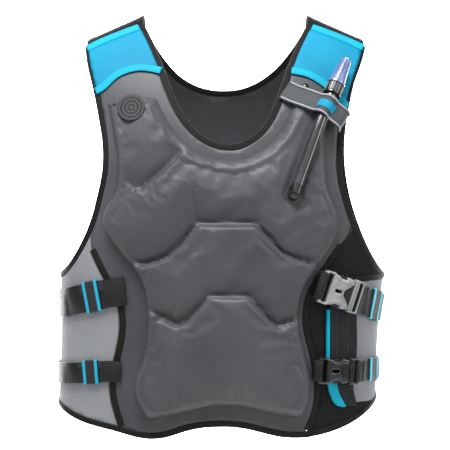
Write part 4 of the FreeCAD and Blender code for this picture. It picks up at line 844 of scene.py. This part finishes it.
# ---------------------------------------------------------------- closure flap and its blue edge
FLAP_FRONT = [(162, 45), (151, 70), (143, 92), (141, 118), (140, 185), (139, 228)]
FLAP_REAR = [(179, 45), (173, 68), (174, 92), (177, 116), (177, 165), (176, 216)]
EDGE_LINE = [(149, 60), (142, 82), (140, 118), (140, 181)]
flap_front, flap_rear = smooth_path(seen_at(FLAP_FRONT), 60), smooth_path(seen_at(FLAP_REAR), 60)
FLAP_KNIT = fabric("flap_knit", srgb(20, 21, 23), srgb(34, 35, 37), 0.68, 1000, 0.0004, 18)
flap = sheet_on_torso("flap_cloth", np.vstack([flap_front, flap_rear[::-1]]), FLAP_IN, FLAP_OUT, FLAP_KNIT, 5,
                      stands_for=("closure_flap",), slot="flap_fabric")
for row, offset in enumerate((-3.0, -9.0, -21.0, -27.0)):
    path_stitches(f"flap_stitches_{row}", flap_front[::-1], offset, FLAP_OUT, GREY_THREAD, pitch=2.4,
                  length=1.7,
                  width=0.6, height=0.35)
edge_profile = rounded(4.8, 3.4, 1.4, 4) + [2.3, FLAP_IN + 1.4]
edge_path = offset_path(smooth_path(seen_at(EDGE_LINE), 60), -GAP)[::-1]
on_path("flap_edge_cloth", edge_path, edge_profile, BLUE_TAPE, stands_for=("flap_edging",),
        slot="blue_edging")
TAB = [(136, 88), (138, 72), (143, 57), (149, 48), (156, 45), (161.5, 45), (158, 53), (151, 69), (144, 89)]
tab = sheet_on_torso("flap_tab_cloth", smooth_path(seen_at([*TAB, TAB[0]]), 60)[:-1], FLAP_IN, FLAP_OUT + 0.8,
                     BLUE_TAPE, 3, slot="blue_edging")


# ---------------------------------------------------------------- frames on the torso
class Place:
    """Origin and axes of a frame, in millimetres."""

    def __init__(self, origin, ahead, up):
        self.origin, self.x = origin, unit(ahead)
        self.z = unit(up - self.x * (self.x @ up))
        self.y = np.cross(self.z, self.x)

    def at(self, x, y=0.0, z=0.0):
        x, y, z = np.broadcast_arrays(*(np.asarray(v, float) for v in (x, y, z)))
        return self.origin + x[..., None] * self.x + y[..., None] * self.y + z[..., None] * self.z

    def points(self, local):
        local = np.asarray(local, float)
        return self.at(local[..., 0], local[..., 1], local[..., 2])


def torso_place(x, z, aim_x, aim_z, rise):
    """Frame on the front at x, z, with its x axis towards another point of the front view."""
    spot, aim = seen_at((x, z)), seen_at((aim_x, aim_z))
    origin, up = on_torso(*spot, rise), outward(*spot)
    ahead = on_torso(*aim, rise) - origin
    return Place(origin, ahead - up * (ahead @ up), up)


def keyed_sides(line, keys, sides):
    """Side vector at each point of a line, from the nearest key point, smoothed."""
    found = np.array([sides[np.argmin(np.linalg.norm(keys - p, axis=1))] for p in line])
    for _ in range(14):
        padded = np.vstack([found[:1], found, found[-1:]])
        found = unit(padded[:-2] + padded[1:-1] + padded[2:])
    return found


def on_side(first, last, count):
    """Points and side vectors along the torso at the straps' height between two (angle, z)."""
    path = np.linspace(first, last, count)
    ahead = on_torso(path[:, 0] + math.copysign(0.01, last[0] - first[0]), path[:, 1]) - on_torso(*path.T)
    return on_torso(*path.T, STRAP_RISE), unit(np.cross(outward(*path.T), ahead))


KEEPER_LONG, KEEPER_REACH = 24.0, 24.0 / 2 + 6 + 1.5


def straight_zone(place):
    return place.at(np.array([-1, -0.5, 0, 0.5, 1]) * KEEPER_REACH)


def keeper(name, width, place, material):
    """Elastic loop round the webbing, with rounded corners and slightly drawn-in middle."""
    count = 25
    along = np.linspace(-KEEPER_LONG / 2, KEEPER_LONG / 2, count)
    loops = []
    for inner in (False, True):
        profile = rounded(width + 1 + (0 if inner else 2.6), WEB + 1 + (0 if inner else 2.6),
                          0.7 if inner else 1.6, 6)
        loops.append(profile)
    rings = []
    for x in along:
        swell = 0.25 * math.cos(math.pi * x / KEEPER_LONG) ** 2
        rings.append(place.at(x, loops[0][:, 0] * (1 - swell * 0.02),
                              loops[0][:, 1] - np.sign(loops[0][:, 1]) * swell))
    for x in along[::-1]:
        rings.append(place.at(x, loops[1][:, 0], loops[1][:, 1]))
    rings = np.array(rings)
    n, m = rings.shape[:2]
    faces = [(a, b, c, d) for a, b, c, d in grid_faces(n, m, True)]
    faces += [((n - 1) * m + k, (n - 1) * m + (k + 1) % m, (k + 1) % m, k) for k in range(m)]
    v = np.r_[along, along[::-1]] + KEEPER_LONG / 2
    u = np.tile(loops[0][:, 0], (n, 1))
    uv = np.stack([u, np.broadcast_to(v[:, None], (n, m))], -1).reshape(-1, 2) * MM
    return piece(name + "_loop", rings.reshape(-1, 3), faces, material, body=name, uv=uv, stands_for=(name,),
                 slot="elastic")


def strap_piece(name, keys, sides, width, body="vest", stands_for=()):
    """Webbing along a curve through the keys, its broad side turned to the sides; also gives its line."""
    keys, sides = np.vstack(keys), np.vstack(sides)
    line = curve(keys, 220)
    return ribbon(name, line, keyed_sides(line, keys, sides), width, WEB, WEBBING, body=body,
                  stands_for=stands_for, slot="webbing"), line


STRAPS_RIGHT = {"upper": (40, -134, 206, -180, 198, 186), "lower": (30, -141, 95, -182, 93, 88)}
for level, (wide, front_x, front_z, keeper_x, keeper_z, side_z) in STRAPS_RIGHT.items():
    keeper_place = torso_place(keeper_x, keeper_z, keeper_x - 30, keeper_z + (side_z - keeper_z) * 0.6,
                               STRAP_RISE)
    start = torso_place(front_x, front_z, keeper_x, keeper_z, STRAP_RISE)
    around, around_sides = on_side((math.radians(-168), side_z), (math.radians(-200), side_z), 7)
    strap_piece(f"{level}_strap_right_webbing", [start.origin, straight_zone(keeper_place), around],
                [start.y, np.tile(keeper_place.y, (5, 1)), around_sides], wide - 1,
                stands_for=(f"{level}_strap_right",))
    keeper(f"{level}_keeper_right", wide, keeper_place, KEEPER_RIGHT_SIDE)
    for k, x in enumerate((3.0, 11.0)):
        across = np.linspace(-wide / 2 + 3, wide / 2 - 3, 12)
        stitches(f"{level}_strap_right_tack_{k}", start.at(x, across, WEB / 2 + 0.1),
                 np.tile(start.z, (12, 1)), THREAD)

SOCKET_LONG, BAR_SLOT, BAR = 34, 8, 4.5
PLUG_BASE, PLUG_SLOT, PLUG_BAR = 7.5, 4.5, 3.5
BUCKLE_THICK, BUCKLE_GAP = 10, 0.4
BUCKLES = {"upper": (40, 152, 205, 205, 185, 179), "lower": (30, 149, 96, 202, 94, 94)}
buckle_places = {}


def loop_round(bar_x, bar, direction):
    radius = bar * math.sqrt(0.5) + 0.3 + WEB / 2
    turn = np.pi * np.arange(9) / 8
    return np.stack([bar_x + direction * radius * np.sin(turn), 0 * turn,
                     BUCKLE_THICK / 2 + radius * np.cos(turn)],
                    -1), radius


for level, (wide, middle_x, middle_z, keeper_x, keeper_z, side_z) in BUCKLES.items():
    place = torso_place(middle_x, middle_z, keeper_x, keeper_z, FLAP_OUT + 0.6)
    place.origin = place.at(15)
    buckle_places[level] = (place, wide)
    bar_x = -(SOCKET_LONG + BAR_SLOT + BAR / 2)
    turn, radius = loop_round(bar_x, BAR, 1)
    low = BUCKLE_THICK / 2 - radius
    path = [(bar_x - 8.5, 0, low + 3.8), (bar_x - 4.5, 0, low + 2 * radius - 1.6), *turn,
            (bar_x - 5, 0, low - 0.1),
            (bar_x - 9, 0, low - 0.2)]
    strap_piece(f"{level}_anchor_webbing", [place.points(path)], [np.tile(-place.y, (len(path), 1))],
                wide - 1,
                stands_for=(f"{level}_anchor",))
    bar_x = BUCKLE_GAP + PLUG_BASE + PLUG_SLOT + PLUG_BAR / 2
    turn, radius = loop_round(bar_x, PLUG_BAR, -1)
    low = BUCKLE_THICK / 2 - radius
    path = [(bar_x + 12, 0, low + 1.4), (bar_x + 6, 0, low + 4.2), *turn, (bar_x + 4, 0, low - 0.3)]
    keeper_place = torso_place(keeper_x, keeper_z, keeper_x + 8, keeper_z - (middle_z - keeper_z) * 0.2,
                               STRAP_RISE)
    around, around_sides = on_side((math.radians(-7), side_z), (math.radians(22), side_z), 9)
    whole, line = strap_piece(f"{level}_strap_left_webbing",
                              [place.points(path), straight_zone(keeper_place), around],
                              [np.tile(place.y, (len(path), 1)), np.tile(keeper_place.y, (5, 1)),
                               around_sides],
                              wide - 1, body=None, stands_for=(f"{level}_strap_front", f"{level}_strap_rear"))
    tuple(keeper_place.at(KEEPER_REACH) * MM)
    tuple(on_torso(math.radians(10), side_z, STRAP_RISE) * MM)
    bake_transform(whole)
    keeper(f"{level}_keeper_left", wide, keeper_place, KEEPER_LEFT_SIDE)


def plate(name, outlines, low, high, round_by, place, material, body, stands_for=(), slot=None):
    """Moulded plate with rounded edges.

    The outlines lie in a frame's xy plane: the first one is the outside, the others are holes."""
    data = bpy.data.curves.new(name + "_outline", "CURVE")
    data.dimensions, data.fill_mode = "2D", "BOTH"
    for outline in outlines:
        spline = data.splines.new("POLY")
        spline.points.add(len(outline) - 1)
        for point, (x, y) in zip(spline.points, outline):
            point.co = (x, y, 0, 1)
        spline.use_cyclic_u = True
    data.offset, data.bevel_depth, data.bevel_resolution = -round_by, round_by, 3
    data.extrude = (high - low) / 2 - round_by
    thing = bpy.data.objects.new(name + "_outline", data)
    solid = bpy.data.meshes.new_from_object(thing)
    points = np.array([v.co for v in solid.vertices])
    faces = [tuple(p.vertices) for p in solid.polygons]
    bpy.data.objects.remove(thing)
    made = piece(name, place.points(points + [0, 0, (low + high) / 2]), faces, material, body=body,
                 stands_for=stands_for, slot=slot)
    split = made.modifiers.new("crisp_edges", "EDGE_SPLIT")
    split.split_angle = math.radians(40)
    return made


def soft_corners(points, radius=1.6, steps=4):
    """Closed outline with each corner rounded."""
    points = np.asarray(points, float)
    out = []
    for before, corner, after in zip(np.roll(points, 1, 0), points, np.roll(points, -1, 0)):
        into, away = before - corner, after - corner
        reach = min(radius, np.linalg.norm(into) * 0.45, np.linalg.norm(away) * 0.45)
        start, end = corner + unit(into) * reach, corner + unit(away) * reach
        for t in np.linspace(0, 1, steps):
            out.append((1 - t) ** 2 * start + 2 * t * (1 - t) * corner + t * t * end)
    return out


def both_halves(half):
    """Closed outline from its +y half, mirrored."""
    return [*half, *((x, -y) for x, y in half[::-1])]


def slot_hole(x0, x1, half_wide):
    return soft_corners([(x0, half_wide), (x1, half_wide), (x1, -half_wide), (x0, -half_wide)], 1.4)


BUCKLE_LOOKS = {"upper": (GREY_PLASTIC, GREY_PLASTIC, "grey_plastic"),
                "lower": (GLOSS_PLASTIC, GLOSS_PLASTIC, "dark_plastic")}
for level, (place, wide) in buckle_places.items():
    socket_look, plug_look, slot_name = BUCKLE_LOOKS[level]
    side = wide / 2 + 3.5
    shell = both_halves([(-46.5, side - 1), (-34, side), (-29, side - 2.5), (-25, side - 2.5),
                         (-23.5, side - 5.5),
                         (-13, side - 5.5), (-11, side - 1), (-1, side - 3), (-0.2, side - 8), (-12, 3.4)])
    plate(f"{level}_socket_shell", [soft_corners(shell), slot_hole(-42.5, -34.5, wide / 2 + 0.3),
                                    slot_hole(-26, -16, 2.3)], 0, 10, 1.7, place, socket_look, "vest",
          (f"{level}_socket",), slot_name)
    rim = both_halves([(-31, side - 5), (-26, side - 5.5), (-24, side - 8.5), (-12, side - 8.5),
                       (-9, side - 5),
                       (-4, side - 6), (-3.5, side - 10.5), (-15, 4.6)])
    inner = [(x * 0.86 - 2.4, y * 0.86) for x, y in rim]
    plate(f"{level}_socket_ridge", [soft_corners(rim), soft_corners(inner)], 9.6, 10.9, 0.5, place,
          socket_look,
          "vest", (), slot_name)
    plate(f"{level}_plug_core", [soft_corners(both_halves([(1.2, side - 8), (-11, 2.2)]))], 1.6, 7.6, 0.8,
          place,
          BLACK_PLASTIC, f"{level}_plug")
    plug_outline = both_halves([(0.5, side), (8, side - 0.4), (15.9, side - 1.2)])
    plate(f"{level}_plug_shell", [soft_corners(plug_outline), slot_hole(8.2, 12.3, wide / 2 + 0.4)], 0.4, 9.6,
          1.6,
          place, plug_look, f"{level}_plug", (f"{level}_plug",), slot_name)
    for k, x in enumerate((1.6, 4.4)):
        bar = soft_corners([(x, side - 3), (x + 1.5, side - 3), (x + 1.5, 3 - side), (x, 3 - side)], 0.7)
        plate(f"{level}_plug_rib_{k}", [bar], 9.2, 10.5, 0.5, place, plug_look, f"{level}_plug", (),
              slot_name)

# ---------------------------------------------------------------- oral inflator
HOSE_LIFT, HOSE_TAIL, ELBOW_HIGH, ELBOW_REACH = 27.0, 36.0, 12.0, 12.0
port, bend_spot, aim_spot = seen_at((84, 339)), seen_at((119, 445)), seen_at((150, 524))
port_up = outward(*port)
port_seat = on_torso(*port, HOSE_LIFT) - port_up * ELBOW_HIGH
elbow = Place(port_seat, on_torso(*bend_spot, HOSE_LIFT) - port_seat - port_up * ELBOW_HIGH, port_up)
hose_start = elbow.at(ELBOW_REACH, 0, ELBOW_HIGH)
bend = hose_start + elbow.x * np.linalg.norm(on_torso(*bend_spot, HOSE_LIFT) - hose_start)
mouth_ahead = unit(on_torso(*aim_spot, HOSE_LIFT + 1) - bend)
mouth_base = bend + mouth_ahead * HOSE_TAIL
mouth_up = np.cross(np.cross(mouth_ahead, port_up), mouth_ahead)

route = [hose_start, hose_start + elbow.x * 50, bend, mouth_base]
hose_data = bpy.data.curves.new("hose_tube", "CURVE")
hose_data.dimensions = "3D"
spline = hose_data.splines.new("NURBS")
spline.points.add(len(route) - 1)
for point, spot in zip(spline.points, route):
    point.co = (*(spot * MM), 1)
spline.order_u, spline.use_endpoint_u, spline.resolution_u = 3, True, 16
hose_data.bevel_depth, hose_data.bevel_resolution, hose_data.use_fill_caps = 8 * MM, 10, True
hose_data.materials.append(HOSE_RUBBER)
hose = bpy.data.objects.new("hose_tube", hose_data)
bpy.context.scene.collection.objects.link(hose)
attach(hose, "vest")
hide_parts("inflator_hose")
tuple(hose_start * MM)

# ---------------------------------------------------------------- band over the hose
band_centre = bend + mouth_ahead * 15.5
band_up = unit(mouth_up)
band_right = np.cross(mouth_ahead, band_up)
band_right = -band_right if band_right[0] < 0 else band_right
BAND_THICK, BAND_WIDE = 1.6, 32.0
BAND_TILT = math.radians(9)
band_across = band_right * math.cos(BAND_TILT) - mouth_ahead * math.sin(BAND_TILT)
band_side = mouth_ahead * math.cos(BAND_TILT) + band_right * math.sin(BAND_TILT)


def band_end(reach, rise):
    """Point of the band at a reach to one side of the hose, at a rise above the torso."""
    x, _, z = band_centre + band_across * reach
    return on_torso(*seen_at((x, z)), rise)


over = [band_centre + (band_across * math.cos(a) + band_up * math.sin(a)) * (8.8 + BAND_THICK / 2)
        for a in np.radians([145, 118, 90, 62, 35])]
band_line = curve([band_end(-63, 6), band_end(-50, 9), band_end(-36, 17), band_end(-23, 25.5), *over,
                   band_end(17, 24.5), band_end(25, 14)], 120)
band_line -= ((band_line - band_centre) @ band_side)[:, None] * band_side
band_sides = np.tile(band_side, (120, 1))
band_normals = unit(np.cross(ahead_of(band_line), band_sides))
band_normals[band_normals @ band_up < 0] *= -1
ribbon("band_cloth", band_line, band_sides, BAND_WIDE, BAND_THICK, BAND_CLOTH, stands_for=("tube_band",),
       slot="band_fabric")
for place_name, shift in (("top", BAND_WIDE / 2 - 2.4), ("bottom", 2.4 - BAND_WIDE / 2)):
    line = band_line + band_normals * (BAND_THICK / 2 + 0.7) + band_side * shift
    ribbon(f"band_{place_name}_cord", line[2:-2], band_sides[2:-2], 2.4, 1.3, PIPING,
           stands_for=(f"band_piping_{place_name}",), slot="piping")
    stitches(f"band_{place_name}_stitches", band_line + band_normals * 0.9 + band_side * (shift * 0.8),
             band_normals,
             GREY_THREAD, pitch=2.4, length=1.7, width=0.55, height=0.3)
LABEL = fabric("blue_label", srgb(0, 116, 150), srgb(8, 144, 176), 0.55, 1600, 0.0002, 30)
under_label = np.abs((band_line - band_centre) @ band_across) < 12
label_line = (band_line + band_normals * (BAND_THICK / 2 + 0.45))[under_label]
ribbon("band_label", label_line, band_sides[under_label], 12, 0.7, LABEL)

# ---------------------------------------------------------------- finishes of the rigid parts
badge_low, badge_high = (np.array(corner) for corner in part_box("chest_badge"))
BADGE_RUBBER = ringed("badge_rubber", tuple((badge_low + badge_high) / 2))
FINISHES = {"port_elbow": BLACK_PLASTIC, "valve_housing": BLACK_PLASTIC,
            "lock_ring": BLACK_PLASTIC, "mouthpiece": GREY_PLASTIC, "valve_stem": GREY_PLASTIC,
            "dust_cap": CAP_PLASTIC, "valve_spring": STEEL, "chest_badge": BADGE_RUBBER,
            "band_snap": BLACK_PLASTIC}
for level in ("upper", "lower"):
    for where in ("top", "bottom"):
        FINISHES[f"{level}_latch_arm_{where}"] = BLACK_PLASTIC
for name, material in FINISHES.items():
    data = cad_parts[name].data
    if not data.materials:
        data.materials.append(material)
    for k in range(len(data.materials)):
        data.materials[k] = material


# ---------------------------------------------------------------- studio
def area_light(name, place, aim, size, power, colour=(1, 1, 1)):
    data = bpy.data.lights.new(name, "AREA")
    data.energy, data.color, data.shape, data.size, data.size_y = power, colour, "RECTANGLE", *size
    lamp = bpy.data.objects.new(name, data)
    bpy.context.scene.collection.objects.link(lamp)
    lamp.location = place
    lamp.rotation_euler = (Vector(aim) - Vector(place)).to_track_quat("-Z", "Y").to_euler()


MIDDLE = (0, 0, 0.30)
area_light("top_softbox", (-0.3, -1.0, 2.1), MIDDLE, (1.2, 0.8), 84)
area_light("left_softbox", (-1.9, -0.9, 0.9), MIDDLE, (0.5, 1.5), 11)
area_light("right_softbox", (1.9, -0.9, 0.9), MIDDLE, (0.5, 1.5), 22)
area_light("front_fill", (0.4, -3.4, 1.2), MIDDLE, (2.0, 1.2), 16)

world = bpy.data.worlds.new("studio")
world.use_nodes = True
world.node_tree.nodes["Background"].inputs["Color"].default_value = (1, 1, 1, 1)
world.node_tree.nodes["Background"].inputs["Strength"].default_value = 0.14
bpy.context.scene.world = world
bpy.context.scene.view_settings.view_transform = "Standard"

floor_data = bpy.data.meshes.new("floor")
FLOOR_HALF, FLOOR_Z = 60.0, -1.1
floor_data.from_pydata([(-FLOOR_HALF, -FLOOR_HALF, FLOOR_Z), (FLOOR_HALF, -FLOOR_HALF, FLOOR_Z),
                        (FLOOR_HALF, FLOOR_HALF, FLOOR_Z), (-FLOOR_HALF, FLOOR_HALF, FLOOR_Z)], [],
                        [(0, 1, 2, 3)])
floor = bpy.data.objects.new("floor", floor_data)
bpy.context.scene.collection.objects.link(floor)
floor_data.materials.append(moulded("pale_floor", srgb(246, 246, 246), srgb(252, 252, 252), 0.9, 20, 0.0))

backdrop_data = bpy.data.meshes.new("backdrop")
backdrop_data.from_pydata([(-4, 3.5, FLOOR_Z), (4, 3.5, FLOOR_Z), (4, 3.5, 4), (-4, 3.5, 4)], [],
                          [(0, 1, 2, 3)])
backdrop = bpy.data.objects.new("backdrop", backdrop_data)
bpy.context.scene.collection.objects.link(backdrop)
backdrop_data.materials.append(Finish("white_sweep", Base_Color=(0.9, 0.9, 0.9, 1), Roughness=1.0,
                                      Emission_Color=(1, 1, 1, 1), Emission_Strength=6.0).material)

camera_data = bpy.data.cameras.new("camera")
camera_data.sensor_width, camera_data.lens = 36, 133.3
camera_data.clip_end = 200
camera = bpy.data.objects.new("camera", camera_data)
camera.location = (-0.0007, -2.4, 0.297)
camera.rotation_euler = (math.pi / 2, 0, 0)
bpy.context.scene.collection.objects.link(camera)
bpy.context.scene.camera = camera
